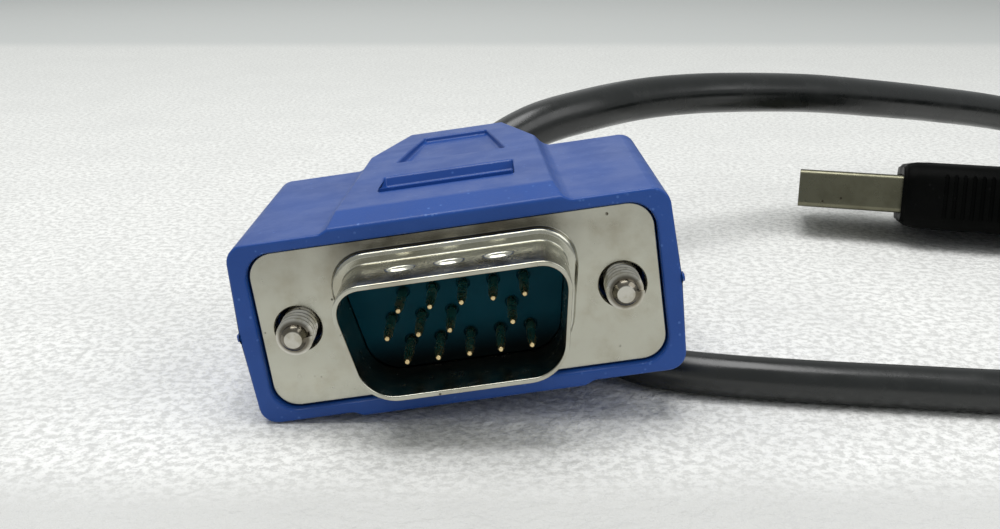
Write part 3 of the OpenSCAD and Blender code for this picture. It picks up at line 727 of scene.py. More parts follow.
class Finish(Enum):
    """Every finish of the object."""

    HOOD_BLUE = MouldedPlastic(
        "hood_blue", (0.010, 0.066, 0.305), (0.008, 0.057, 0.270), (0.06, 0.15, 0.45),
        grain=0.16, depth=0.025, roughness=(0.30, 0.42), speck_size=0.6, specular=0.38,
    )
    # Flange nickel, with painted shade under the hood's lip.
    FACE_NICKEL = PlatedMetal(
        "face_nickel", (0.52, 0.515, 0.44), (0.43, 0.41, 0.33), (0.06, 0.05, 0.036),
        roughness=(0.16, 0.28), lip_shade=0.9,
    )
    # Screw nickel, with painted shade in the jackscrews' thread roots.
    SCREW_NICKEL = PlatedMetal(
        "screw_nickel", (0.60, 0.58, 0.52), (0.40, 0.37, 0.29), (0.10, 0.085, 0.06),
        roughness=(0.12, 0.22), stains=1.4, pits=0.9, thread_shade=0.85,
    )
    SERIAL_NICKEL = PlatedMetal(
        "serial_nickel", (0.17, 0.165, 0.115), (0.13, 0.125, 0.085), (0.06, 0.05, 0.035),
        roughness=(0.26, 0.36), stains=3.0, pits=1.8,
    )
    TIN = PlatedMetal("tinned_sheet", (0.62, 0.62, 0.6), (0.5, 0.5, 0.48), (0.12, 0.12, 0.11), (0.26, 0.4))
    GOLD = PlatedMetal(
        "contact_gold", (0.78, 0.62, 0.34), (0.60, 0.46, 0.24), (0.2, 0.13, 0.05),
        roughness=(0.2, 0.32), stains=0.9, pits=0.7, grain=0.001, wave=0.0,
    )
    # Insulator, with painted shade towards its lower edge inside the shell.
    INSULATOR_TEAL = MouldedPlastic(
        "insulator_teal", (0.002, 0.058, 0.092), (0.0015, 0.050, 0.080), (0.006, 0.04, 0.055),
        roughness=(0.3, 0.4), specular=0.06, low_shade=0.96,
    )
    LEAD_GREY = LeadJacket("lead_jacket", (0.005, 0.0065, 0.006), (0.05, 0.052, 0.051), (0.2, 0.34))
    GRIP_BLACK = MouldedPlastic(
        "grip_black", (0.0015, 0.0018, 0.0016), (0.003, 0.0032, 0.003), (0.008, 0.008, 0.008),
        grain=0.25, roughness=(0.36, 0.5), speck_size=0.7, specular=0.03,
    )
    KNOB_BLACK = MouldedPlastic(
        "knob_black", (0.012, 0.013, 0.016), (0.016, 0.017, 0.02), (0.05, 0.05, 0.055),
        grain=0.2, roughness=(0.38, 0.5),
    )
    CASE_BLACK = MouldedPlastic(
        "case_black", (0.009, 0.0095, 0.0105), (0.012, 0.0125, 0.0135), (0.035, 0.035, 0.036),
        grain=0.4, depth=0.05, roughness=(0.46, 0.6), speck_size=0.9, specular=0.3,
    )
    JACK_BLACK = MouldedPlastic(
        "jack_black", (0.008, 0.008, 0.009), (0.011, 0.011, 0.012), (0.03, 0.03, 0.03),
        grain=0.3, roughness=(0.36, 0.46),
    )
    TONGUE_WHITE = MouldedPlastic(
        "tongue_white", (0.72, 0.72, 0.69), (0.66, 0.66, 0.62), (0.5, 0.5, 0.46),
        grain=0.3, depth=0.015, roughness=(0.34, 0.46),
    )
    CORE_RED = MouldedPlastic("core_vinyl", (0.30, 0.02, 0.015), (0.24, 0.016, 0.012), (0.4, 0.08, 0.06))
    MOULD_WHITE = MouldedPlastic("inner_mould", (0.66, 0.66, 0.6), (0.6, 0.6, 0.54), (0.5, 0.5, 0.45))
    BOARD_GREEN = CircuitBoard("board_green", (0.006, 0.075, 0.022), (0.02, 0.14, 0.04))
    LIGHT_LENS = MouldedPlastic(
        "light_lens", (0.30, 0.50, 0.16), (0.26, 0.44, 0.13), (0.5, 0.7, 0.3),
        grain=0.5, depth=0.01, roughness=(0.12, 0.2),
    )
    CHIP_BLACK = MouldedPlastic(
        "chip_black", (0.012, 0.012, 0.013), (0.016, 0.016, 0.017), (0.04, 0.04, 0.04)
    )
    CAN_STEEL = PlatedMetal("can_steel", (0.6, 0.6, 0.61), (0.5, 0.5, 0.5), (0.15, 0.15, 0.15), (0.2, 0.3))
    CAPACITOR_BLUE = MouldedPlastic(
        "capacitor_sleeve", (0.012, 0.045, 0.20), (0.010, 0.036, 0.16), (0.04, 0.08, 0.25),
        grain=0.5, depth=0.01, roughness=(0.2, 0.3),
    )
    FERRITE = MouldedPlastic(
        "ferrite", (0.02, 0.02, 0.022), (0.028, 0.028, 0.03), (0.06, 0.06, 0.06), grain=0.3, depth=0.04
    )
    HEADER_IVORY = MouldedPlastic("header_ivory", (0.68, 0.62, 0.44), (0.6, 0.54, 0.38), (0.45, 0.4, 0.26))

    def material(self) -> bpy.types.Material:
        """The finish's material, built when it is first used."""
        return bpy.data.materials.get(f"{self.value.name}_finish") or self.value.make()


def dress(piece: Piece, finish: Finish) -> Piece:
    """Gives a piece one finish all over."""
    piece.data.materials.clear()
    piece.data.materials.append(finish.material())
    return piece


# Leads

MAIN_ROUTE = (
    (-0.3, 31, 2), (-0.3, 33, 2), (0.7, 35.7, 3), (3.5, 38, 5), (7.5, 40.4, 6.7), (12.5, 43.6, 7.6),
    (19, 48.6, 8.1), (26, 53, 8.1), (34, 57, 7.7), (43, 61.4, 6.9), (52, 66, 5.6), (62, 71.2, 4),
    (74, 77.2, 1.8), (84, 81.4, -0.6), (94, 84.6, -3.4), (104, 86.2, -5.8), (113, 86, -7),
    (121.6, 83.4, -6.4), (128.6, 79, -4), (133.6, 74.4, -0.8), (136.4, 70, 1),
    (137, 67, 1.25), (137, 64, 1.25),
)
SERIAL_ROUTE = (
    (0.4, 31, -2.8), (0.4, 33, -2.8), (2.2, 37.4, -4.4), (6.4, 40.2, -6.4), (11.4, 39.4, -7.5),
    (14.6, 34.6, -7.7), (14.6, 28, -7.7), (13, 21.4, -7.7), (12.2, 15.4, -7.7), (12.7, 10.6, -7.7),
    (15, 7.2, -7.7), (19.2, 5.3, -7.7), (27.6, 3.5, -7.7), (35, 2.4, -7.7), (43, 1.3, -7.7), (54, 0.3, -7.7),
    (66, 0.2, -7.7), (78, 1.2, -7.7), (89, 3.8, -7.7), (98.6, 8, -7.7), (106, 13.8, -7.7),
    (110.6, 20.4, -7.6), (112, 27, -6.9), (110.2, 33, -5.8), (105.6, 37.3, -4.8), (99.8, 39.7, -4.4),
    (94.1, 41.45, -4.4),
)


@dataclass
class Lead:
    """A flexible lead that runs along its route.

    Attributes:
        name: The piece's name.
        node: The node that it stands for.
        route: The points of its centre line, in millimetres in the shared frame.
        diameter: Its diameter in millimetres.
        far_end: What is on its far end; not used.
        slot: The record's material slot; not used.
    """

    name: str
    node: str
    route: tuple[tuple[float, float, float], ...]
    diameter: float
    far_end: str
    slot: str = "lead_jacket"

    def length(self) -> float:
        """The length of the centre line in metres."""
        steps = zip(self.route, self.route[1:])
        return sum((Vector(b) - Vector(a)).length for a, b in steps) * MM

    def build(self) -> Piece:
        """Draws the lead as a round bevelled curve through its route.

        Returns:
            The curve object.
        """
        curve = bpy.data.curves.new(self.name, "CURVE")
        curve.dimensions = "3D"
        curve.bevel_depth = self.diameter / 2 * MM
        curve.bevel_resolution = 9
        curve.resolution_u = 10
        curve.use_fill_caps = True
        spline = curve.splines.new("BEZIER")
        spline.bezier_points.add(len(self.route) - 1)
        places = [Vector(p) * MM for p in self.route]
        for i, (point, place) in enumerate(zip(spline.bezier_points, places)):
            before, after = places[max(i - 1, 0)], places[min(i + 1, len(places) - 1)]
            along = (after - before).normalized()
            point.co = place
            point.handle_left_type = point.handle_right_type = "FREE"
            point.handle_left = place - along * (place - before).length / 3
            point.handle_right = place + along * (after - place).length / 3
        piece = bpy.data.objects.new(self.name, curve)
        bpy.context.scene.collection.objects.link(piece)
        dress(piece, Finish.LEAD_GREY)
        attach(piece, "root")
        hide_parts(self.node)
        return piece

    def declare(self) -> None:
        """Works out the length of the lead's centre line, and does nothing with it.
        """
        self.length()


# Studio


@dataclass(frozen=True)
class Studio:
    """The camera at the photographed angle, soft lamps, and a pale rough floor.

    Attributes:
        focal: The focal length in pixels.
        frame_w: The width of the frame in pixels.
        place: The camera's place in millimetres.
        pitch: How far it looks down, in degrees.
        yaw: How far it looks to the right, in degrees.
        sensor: The width of the sensor in millimetres.
        room: The world's colour and strength.
        lamps: The name, place, side and power of each lamp, in millimetres and watts.
        aim: The point that the lamps look at.
    """

    focal: float = 1100.0
    frame_w: int = 1000
    place: Point = (2.66, -78.96, 28.2)
    pitch: float = 17.46
    yaw: float = 0.3
    sensor: float = 36.0
    room: tuple[Point, float] = ((0.9, 0.93, 0.93), 0.46)
    lamps: tuple[tuple[str, Point, float, float], ...] = (
        ("high_lamp", (-80, 0, 590), 400, 2.55),
        ("back_lamp", (-90, 400, 270), 380, 0.15),
        ("right_lamp", (330, -180, 300), 300, 0.5),
    )
    aim: Point = (0, 10, 0)

    def camera(self) -> None:
        """Adds the camera."""
        data = bpy.data.cameras.new("view")
        data.sensor_width = self.sensor
        data.lens = self.focal * self.sensor / self.frame_w
        data.clip_start, data.clip_end = 0.005, 20
        view = bpy.data.objects.new("view", data)
        view.location = Vector(self.place) * MM
        view.rotation_euler = (math.radians(90 - self.pitch), 0, math.radians(-self.yaw))
        bpy.context.scene.collection.objects.link(view)
        bpy.context.scene.camera = view

    def floor(self) -> None:
        """Adds the floor, a wide plane of pale rough foam, with a painted shadow in front of the video plug
        and painted shade towards the back.
        """
        Bench.clear()
        bpy.ops.mesh.primitive_plane_add(size=6, location=(0, 0, (FLOOR_Z - 0.02) * MM))
        sheet = NodeSheet("pale_foam")
        split = sheet.tree.nodes.new("ShaderNodeSeparateXYZ")
        sheet.link(sheet.coords, split, "Vector")
        depth = split.outputs["Y"]
        beyond = sheet.ramp(depth, (0.258, 0.0), (0.282, 1.0))
        # Painted shade: the floor darkens towards the back, where less light falls on it.
        far = sheet.ramp(depth, (0.0, 0.0), (0.24, 0.7))
        # Painted shadow: the floor nearer the camera than the video plug's front is darkened, where the
        # plug's shadow falls.
        near = sheet.ramp(depth, (-0.0145, 0.5), (-0.006, 0.0))
        patches = sheet.ramp(sheet.noise(16, 4), (0.35, 0.0), (0.7, 1.0))
        grain = sheet.ramp(sheet.noise(0.75, 5, 0.7), (0.40, 0.0), (0.58, 1.0))
        colour = sheet.blend(patches, (0.93, 0.93, 0.905), (0.85, 0.85, 0.83))
        colour = sheet.blend(far, colour, (0.70, 0.71, 0.685))
        colour = sheet.blend(near, colour, (0.42, 0.42, 0.41))
        colour = sheet.blend(grain, (0.66, 0.66, 0.64), colour)
        sheet.paint(sheet.blend(beyond, colour, (0.60, 0.615, 0.60)))
        crumb = sheet.product(sheet.noise(1.3, 4, 0.6), sheet.ramp(beyond, (0.0, 1.0), (1.0, 0.1)))
        sheet.relief([(crumb, 0.5, 0.8), (sheet.noise(9, 2), 1.0, 0.3)])
        sheet.set(Roughness=0.8, Specular_IOR_Level=0.25)
        floor = bpy.context.object
        floor.name = "floor"
        floor.data.materials.append(sheet.material)

    def light(self) -> None:
        """Adds the pale world and the square soft lamps."""
        colour, strength = self.room
        world = bpy.data.worlds.new("pale_room")
        world.use_nodes = True
        background = world.node_tree.nodes["Background"]
        background.inputs["Color"].default_value = (*colour, 1)
        background.inputs["Strength"].default_value = strength
        bpy.context.scene.world = world
        for name, place, side, power in self.lamps:
            data = bpy.data.lights.new(name, "AREA")
            data.size = side * MM
            data.energy = power
            lamp = bpy.data.objects.new(name, data)
            lamp.location = Vector(place) * MM
            lamp.rotation_euler = (Vector(self.aim) - Vector(place)).to_track_quat("-Z", "Y").to_euler()
            bpy.context.scene.collection.objects.link(lamp)

    def build(self) -> None:
        """Sets up the whole studio."""
        bpy.context.scene.view_settings.view_transform = "Standard"
        self.camera()
        self.floor()
        self.light()


# Solids that several sub-assemblies need


def turned(name: str, profile: Sequence[tuple[float, float]], corners: int = 48) -> Piece:
    """Turns a solid round the Y axis, ring by ring.

    Args:
        name: The piece's name.
        profile: The radius and the place along Y of each ring, from end to end.
        corners: How many corners each ring has.

    Returns:
        The closed solid.
    """
    Bench.clear()
    radius, place = profile[0]
    bpy.ops.mesh.primitive_circle_add(
        vertices=corners,
        radius=radius,
        fill_type="NGON",
        location=(0, place, 0),
        rotation=(math.pi / 2, 0, 0),
    )
    made = bpy.context.object
    made.name = name
    Bench.apply(made)
    Bench.edit(made)
    bpy.ops.mesh.select_all(action="SELECT")
    for new_radius, new_place in profile[1:]:
        Bench.pull((0, new_place - place, 0))
        share = new_radius / radius
        Bench.stretch((share, 1, share), (0, new_place, 0))
        radius, place = new_radius, new_place
    Bench.close()
    Bench.weld(made, 1e-6)
    return made


def block(name: str, low: Point, high: Point, radius: float, steps: int = 6, axis: int = 1) -> Piece:
    """A box whose four edges along one axis are rounded.

    Args:
        name: The piece's name.
        low: Its lowest corner.
        high: Its highest corner.
        radius: The radius of the edges.
        steps: How many faces each rounding has.
        axis: The axis, counted from 0 for X.

    Returns:
        The block.
    """
    made = Bench.box(name, low, high)
    Bench.edit(made)
    Bench.pick_edges(lambda a, b: abs(a[axis] - b[axis]) > 0.01)
    Bench.round_picked(radius, steps)
    Bench.close()
    return made


def d_block(name: str, width: float, height: float, radius: float, start: float, end: float) -> Piece:
    """A block along Y with the section of the D, wide side up.

    Args:
        name: The piece's name.
        width: Its width along the wide side.
        height: Its height.
        radius: The radius of its corners.
        start: Where it starts along Y.
        end: Where it ends along Y.

    Returns:
        The block.
    """
    made = Bench.box(name, (-width / 2, start, -height / 2), (width / 2, end, height / 2))
    Bench.edit(made)
    Bench.pick_corners(lambda p: p.z < 0)
    Bench.stretch((1 - 2 * height * math.tan(SHELL_SLANT) / width, 1, 1), (0, 0, 0))
    Bench.pick_edges(lambda a, b: abs(a.y - b.y) > 0.01)
    Bench.round_picked(radius, 10)
    Bench.close()
    return made


# Video plug


@dataclass
class Hood:
    """The moulded hood: two wings, a raised band over the middle, and the tail.

    Attributes:
        half_w: Half its width at the parting line.
        edge_half_w: Half its width at the top and bottom edges.
        half_h: Half the height of the wings.
        front: Its front rim.
        back: The back of the wings.
        draft: How much the wings narrow to the back.
        corner: The radius of the wings' corners.
        band_foot: Half the width of the band's foot at the front.
        tail_foot: Half the width of the band's foot at the back of the wings.
        band_steps: The height, the inward step and the backward step of the band's two rises.
        tail_back: The rear face of the tail.
        tail_shares: How much the tail narrows and flattens to its rear face.
        seat: Half the width and height of the flange's seat, its depth and its corner radius.
        screw_bores: The radius, start and end of the two bores round each jackscrew.
        exits: The radius and the height of each lead's way out.
        scoop: Half the scoop's width, its start, its end and its floor.
        panel: Half the tapered panel's width, its start, its end, its floor and half its end's width.
        nub: Half a nub's size across, half its height, and its start and end behind the front rim.
    """

    half_w: float = 16.95
    edge_half_w: float = 16.65
    half_h: float = 7.3
    front: float = -0.6
    back: float = 20.5
    draft: float = 0.15
    corner: float = 1.35
    band_foot: float = 9.4
    tail_foot: float = 8.6
    band_steps: tuple[Point, Point] = ((0.3, 0.5, 0.0), (0.8, 0.6, 2.2))
    tail_back: float = 31.0
    tail_shares: Point = (0.62, 1.0, 0.964)
    seat: Point = (15.5, 6.4, 1.6, 2.05)
    screw_bores: tuple[Point, Point] = ((1.72, 1.5, 9.6), (1.45, 9.0, 22.0))
    exits: tuple[Point, Point] = ((2.44, 2.0), (1.79, -2.8))
    scoop: Point = (5.4, 6.0, 11.4, 7.4)
    panel: Point = (4.8, 16.5, 27.5, 7.75, 3.0)
    nub: Point = (0.3, 0.28, 0.05, 1.1)

    def wings(self) -> Piece:
        """The wings, split where the band will rise."""
        low = (-self.half_w, self.front, -self.half_h)
        piece = Bench.box("hood", low, (self.half_w, self.back, self.half_h))
        Bench.edit(piece)
        Bench.split((0, 0, 0), (0, 0, 1))
        Bench.pick_corners(lambda p: abs(p.z) > 1)
        Bench.stretch((self.edge_half_w / self.half_w, 1, 1), (0, 0, 0))
        Bench.pick_corners(lambda p: p.y > self.back - 0.1)
        Bench.stretch(((self.half_w - self.draft) / self.half_w, 1, 1), (0, self.back, 0))
        run, narrowing = self.back - self.front, self.band_foot - self.tail_foot
        for side in (-1, 1):
            Bench.split((side * self.band_foot, self.front, 0), (side * run, narrowing, 0))
        return piece

    def raise_band(self) -> None:
        """Raises the band over the middle of the wings, above and below, in the open mesh."""
        for up in (-1, 1):
            Bench.pick_faces(lambda c, n: abs(c.x) < 5 and n.z * up > 0.9)
            height = self.half_h
            for rise, inward, back in self.band_steps:
                Bench.pull((0, 0, rise * up))
                height += rise
                level = height - 0.05
                for side in (-1, 1):
                    Bench.pick_corners(lambda p: p.z * up > level and p.x * side > 0)
                    Bench.move((-side * inward, 0, 0))
                if back:
                    Bench.pick_corners(lambda p: p.z * up > level and p.y < 0)
                    Bench.move((0, back, 0))
                Bench.pick_faces(lambda c, n: c.z * up > level and n.z * up > 0.9)

    def draw_tail(self) -> None:
        """Draws the tail out of the back of the band, in the open mesh."""
        Bench.pick_faces(lambda c, n: abs(c.x) < 8.5 and n.y > 0.9)
        Bench.pull((0, self.tail_back - self.back, 0))
        Bench.stretch(self.tail_shares, (0, self.tail_back, 0))

    def nubs(self) -> list[Piece]:
        """The small nubs that the mould left on the parting line near the front."""
        out, half_h, start, end = self.nub
        made = []
        for side in (-1, 1):
            x = side * (self.half_w - 0.12)
            low = (x - out, self.front + start, -half_h)
            made.append(block("nub", low, (x + out, self.front + end, half_h), 0.2, 3, 2))
        return made

    def sunk_shapes(self) -> list[Piece]:
        """The solids of the scoop and of the tapered panel on the upper side."""
        half_w, start, end, floor = self.scoop
        scoop = Bench.box("scoop", (-half_w, start, floor), (half_w, end, 9))
        Bench.edit(scoop)
        Bench.pick_corners(lambda p: p.z < 8 and p.y < start + 1)
        Bench.move((0, 0, 0.995))
        Bench.pick_corners(lambda p: p.z < 8 and p.y > end - 0.4)
        Bench.move((0, -0.6, 0.15))
        Bench.close()
        half_w, start, end, floor, end_half_w = self.panel
        panel = Bench.box("panel", (-half_w, start, floor), (half_w, end, 9))
        Bench.edit(panel)
        Bench.pick_corners(lambda p: p.y > end - 0.5)
        Bench.stretch((end_half_w / half_w, 1, 1), (0, end, 0))
        Bench.close()
        return [scoop, panel]

    def recesses(self) -> list[Piece]:
        """The solids of the flange's seat, the bores, the scoops and the tapered panels."""
        half_w, half_h, deep, corner = self.seat
        cuts = [block("flange_seat", (-half_w, -2, -half_h), (half_w, deep, half_h), corner, 8)]
        for x in (-SCREW_X, SCREW_X):
            for radius, start, end in self.screw_bores:
                cuts.append(Bench.rod("screw_bore", radius, (x, start, 0), (x, end, 0), 40))
        for radius, z in self.exits:
            cuts.append(Bench.rod("lead_exit", radius, (0, 27, z), (0, 32, z), 40))
        for cut in self.sunk_shapes():
            cut.scale = (1, 1, -1)
            Bench.apply(cut)
            Bench.weld(cut)
            cuts.append(cut)
        return cuts + self.sunk_shapes()

    def is_long_edge(self, a: Vector, b: Vector) -> bool:
        """Whether an edge between two ends is one of the wings' four long outer edges."""
        outside = min(abs(a.x), abs(b.x)) > 15 and min(abs(a.z), abs(b.z)) > 7.2
        return outside and abs(a.y - b.y) > 1

    def build(self) -> Piece:
        """Builds and settles the hood.

        Returns:
            The piece.
        """
        piece = self.wings()
        self.raise_band()
        self.draw_tail()
        Bench.pick_edges(self.is_long_edge)
        Bench.round_picked(self.corner, 6)
        Bench.close()
        Bench.weld(piece)
        Bench.combine(piece, self.nubs(), "UNION")
        Bench.combine(piece, self.recesses(), "DIFFERENCE")
        Bench.refine(piece, 0.2, 3, 13, 38, 2e-3)
        dress(piece, Finish.HOOD_BLUE)
        return settle(piece, Seat.PLUG, "root", "hood_blue", "vga_hood")


@dataclass
class PlugFace:
    """The metal face: flange plate, shoulder and D shell, with the insulator and the pins in it.

    Attributes:
        flange: Half the flange's width and height.
        shell: The D shell's width, height and corner radius.
        wall: Its sheet thickness.
        reach: How far it stands ahead of the flange.
        pitch: The spacing of the pins in a row, and that of the rows.
        shifts: How far each row is moved sideways, as shares of the pitch, from the top row down.
        blank: The row and the place in it that hold no pin.
        dimples_x: Where the dimples lie along the shell's long sides.
        dimple_y: How far ahead of the flange they lie.
        dimple: Half the width, length and depth of a dimple.
        pin: The radius and the place along Y of each ring of a pin, from its tip to its solder cup.
    """

    flange: Point = (15.4, 6.3)
    shell: Point = (18.0, 9.1, 2.6)
    wall: float = 0.4
    reach: float = 5.8
    pitch: Point = (2.29, 1.98)
    shifts: Point = (0.25, -0.25, 0.25)
    blank: tuple[int, int] = (1, 3)
    dimples_x: Point = (-3.6, 0.0, 3.6)
    dimple_y: float = -2.9
    dimple: Point = (1.15, 0.6, 0.36)
    pin: tuple[Point, ...] = (
        (0.10, -4.9), (0.16, -4.87), (0.21, -4.78), (0.28, -4.4), (0.34, -3.8), (0.36, -3.2),
        (0.36, 7.5), (0.6, 7.5), (0.6, 9.9), (0.42, 9.9), (0.42, 8.2),
    )

    def plate(self) -> Piece:
        """The flange plate with its shoulder, the D shell and the two holes."""
        half_w, half_h = self.flange
        width, height, radius = self.shell
        piece = block("face", (-half_w, 0, -half_h), (half_w, 0.8, half_h), 2, 10)
        shoulder = d_block("shoulder", width + 1.8, height + 1.8, radius + 0.9, -0.6, 0.4)
        Bench.edit(shoulder)
        Bench.pick_edges(lambda a, b: max(a.y, b.y) < -0.5)
        Bench.round_picked(0.42, 5)
        Bench.close()
        shell = d_block("shell", width, height, radius, -self.reach, 0.3)
        Bench.combine(piece, [shoulder, shell], "UNION")
        bore = d_block("bore", width - 2 * self.wall, height - 2 * self.wall, radius - self.wall, -7, 2)
        holes = [Bench.rod("hole", 1.8, (x, -1, 0), (x, 2, 0), 48) for x in (-SCREW_X, SCREW_X)]
        Bench.combine(piece, [bore, *holes, *self.dimples()], "DIFFERENCE")
        return Bench.refine(piece, 0.11, 3, 35, 50)

    def dimples(self) -> list[Piece]:
        """The solids of the dents along both long sides of the D shell."""
        made = []
        for z in (-self.shell[1] / 2, self.shell[1] / 2):
            for x in self.dimples_x:
                Bench.clear()
                bpy.ops.mesh.primitive_uv_sphere_add(
                    segments=24, ring_count=12, radius=1, location=(x, self.dimple_y, z)
                )
                dent = bpy.context.object
                dent.scale = self.dimple
                Bench.apply(dent)
                made.append(dent)
        return made

    def places(self) -> list[tuple[float, float]]:
        """Where the pins stand, as X and Z."""
        step, row_step = self.pitch
        return [
            ((column - 2 + self.shifts[row]) * step, (1 - row) * row_step)
            for row in range(3)
            for column in range(5)
            if (row, column) != self.blank
        ]

    def insulator(self) -> Piece:
        """The insulator with a small well round each pin."""
        width, height, radius = self.shell
        inset = 2 * (self.wall + 0.04)
        piece = d_block("insulator", width - inset, height - inset, radius - self.wall - 0.04, -0.4, 7.5)
        wells = [Bench.rod("well", 0.5, (x, -1, z), (x, -0.12, z), 20) for x, z in self.places()]
        Bench.combine(piece, [Bench.join("wells", wells)], "DIFFERENCE")
        return Bench.refine(piece, 0.07, 2, 35, 50, 0)

    def pins(self) -> Piece:
        """The contact pins with rounded tips and solder cups."""
        first, *others = self.places()
        pin = turned("pins", self.pin, 20)
        copies = [Bench.twin(pin, "pin", (x, 0, z)) for x, z in others]
        pin.location = (first[0], 0, first[1])
        Bench.apply(pin)
        return Bench.smooth(Bench.join("pins", [pin, *copies]), 45)

    def build(self) -> None:
        """Builds and settles the face, the insulator and the pins."""
        for piece, finish, slot, node in (
            (self.plate(), Finish.FACE_NICKEL, "nickel", "vga_front_shell"),
            (self.insulator(), Finish.INSULATOR_TEAL, "insulator_teal", "vga_insulator"),
            (self.pins(), Finish.GOLD, "gold", "vga_pins"),
        ):
            settle(dress(piece, finish), Seat.PLUG, "root", slot, node)


@dataclass
class Jackscrew:
    """A captive jackscrew with its thread, and the ribbed knob on its rear end.

    Attributes:
        side: left or right.
        x: The place of its axis.
        pitch: The pitch of the thread.
        turns: How many turns the thread has.
        thread_start: Where the middle of the thread's first turn lies.
        thread: The radius of the thread's root and of its crest.
        shank: The radius and the place along Y of each ring of the core, from its tip.
        ring_span: The front and back of the retaining ring.
        knob_radius: The radius over the knob's ribs.
        knob_span: The front and back of the knob.
        ribs: How many ribs the knob has.
        rise: The height of a rib.
        dish: The width of the rim and of the slope round the dished end, and its depth.
        slot: The depth and half the width of the slot in it.
        hole: The radius of the knob's hole for the screw.
    """

    side: str
    x: float
    pitch: float = 0.635
    turns: int = 11
    thread_start: float = -1.95
    thread: Point = (0.99, 1.42)
    shank: tuple[Point, ...] = (
        (0.60, -2.4), (0.68, -2.37), (0.95, -2.15), (0.99, -2.05), (0.99, 5.2), (1.15, 5.25),
        (1.15, 9.35), (0.85, 9.35), (0.85, 10.25), (1.15, 10.25), (1.15, 26.8),
    )
    ring_span: Point = (9.4, 10.2)
    knob_radius: float = 3.5
    knob_span: Point = (20.8, 28.8)
    ribs: int = 16
    rise: float = 0.33
    dish: Point = (0.75, 0.25, 0.35)
    slot: Point = (1.1, 0.5)
    hole: float = 1.19

    def ridge(self) -> Piece:
        """The helical ridge of the thread."""
        root, crest = self.thread
        start = self.thread_start
        Bench.clear()
        bpy.ops.mesh.primitive_plane_add(size=1, location=((root + crest) / 2 - 0.05, start, 0))
        piece = bpy.context.object
        piece.scale = (crest - root + 0.1, 0.8 * self.pitch, 1)
        Bench.apply(piece)
        Bench.edit(piece)
        Bench.pick_corners(lambda p: p.x > crest - 0.01)
        Bench.stretch((1, 0.16, 1), (0, start, 0))
        bpy.ops.mesh.select_all(action="SELECT")
        bpy.ops.mesh.delete(type="ONLY_FACE")
        Bench.close()
        modifier = piece.modifiers.new("helix", "SCREW")
        modifier.axis = "Y"
        modifier.screw_offset = self.pitch
        modifier.iterations = self.turns
        modifier.steps = modifier.render_steps = 32
        modifier.use_merge_vertices = False
        bpy.ops.object.modifier_apply(modifier=modifier.name)
        Bench.edit(piece)
        bpy.ops.mesh.select_all(action="SELECT")
        bpy.ops.mesh.remove_doubles(threshold=1e-5)
        bpy.ops.mesh.fill_holes(sides=4)
        bpy.ops.mesh.select_all(action="SELECT")
        bpy.ops.mesh.normals_make_consistent(inside=False)
        Bench.close()
        return piece

    def screw(self) -> Piece:
        """The screw: reduced tip, thread, shank with the ring's groove."""
        core = turned(f"{self.side}_jackscrew_turned", self.shank)
        Bench.combine(core, [self.ridge()], "UNION")
        return Bench.smooth(core, 30)

    def on_rib(self, centre: Vector, normal: Vector) -> bool:
        """Whether a face, by its centre and normal, belongs to a rib of the knob."""
        period = 2 * math.pi / self.ribs
        angle = math.atan2(centre.z, centre.x) + math.pi
        return abs(normal.y) < 0.5 and angle % period < period / 2

    def knob(self) -> Piece:
        """The knob with its grip ribs, a dished end and a slot."""
        start, end = self.knob_span
        piece = Bench.rod(
            f"{self.side}_knob_ribbed", self.knob_radius - self.rise, (0, start, 0), (0, end, 0), 64
        )
        Bench.edit(piece)
        Bench.pick_faces(self.on_rib)
        bpy.ops.mesh.extrude_region_shrink_fatten(TRANSFORM_OT_shrink_fatten={"value": self.rise})
        Bench.pick_faces(lambda c, n: n.y > 0.9 and math.hypot(c.x, c.z) < 2)
        rim, slope, sunk = self.dish
        bpy.ops.mesh.inset(thickness=rim, depth=0)
        bpy.ops.mesh.inset(thickness=slope, depth=-sunk)
        Bench.close()
        deep, half_w = self.slot
        slot = Bench.box("slot", (-4, end - deep, -half_w), (4, end + 1, half_w))
        hole = Bench.rod("hole", self.hole, (0, start - 1, 0), (0, end - 2, 0), 40)
        Bench.combine(piece, [slot, hole], "DIFFERENCE")
        return Bench.refine(piece, 0.09)

    def ring(self) -> Piece:
        """The retaining ring, split as a snap ring is."""
        front, back = self.ring_span
        piece = turned(f"{self.side}_snap_ring", [(2.5, front), (2.5, back)], 48)
        bore = Bench.rod("bore", 0.9, (0, 9, 0), (0, 11, 0), 40)
        gap = Bench.box("gap", (-0.3, 9, 0), (0.3, 11, 3))
        Bench.combine(piece, [bore, gap], "DIFFERENCE")
        return Bench.refine(piece, 0.08, gap=0)

    def build(self) -> None:
        """Builds and settles the screw, its knob and its ring."""
        for piece, finish, body, slot, node in (
            (self.screw(), Finish.SCREW_NICKEL, "screw", "screw_nickel", "jackscrew"),
            (self.knob(), Finish.KNOB_BLACK, "screw", "knob_black", "thumb_knob"),
            (self.ring(), Finish.SCREW_NICKEL, "ring", "screw_nickel", "retaining_ring"),
        ):
            piece.location = (self.x, 0, 0)
            Bench.apply(piece)
            settle(dress(piece, finish), Seat.PLUG, f"{self.side}_{body}", slot, f"{self.side}_{node}")


# Serial plug


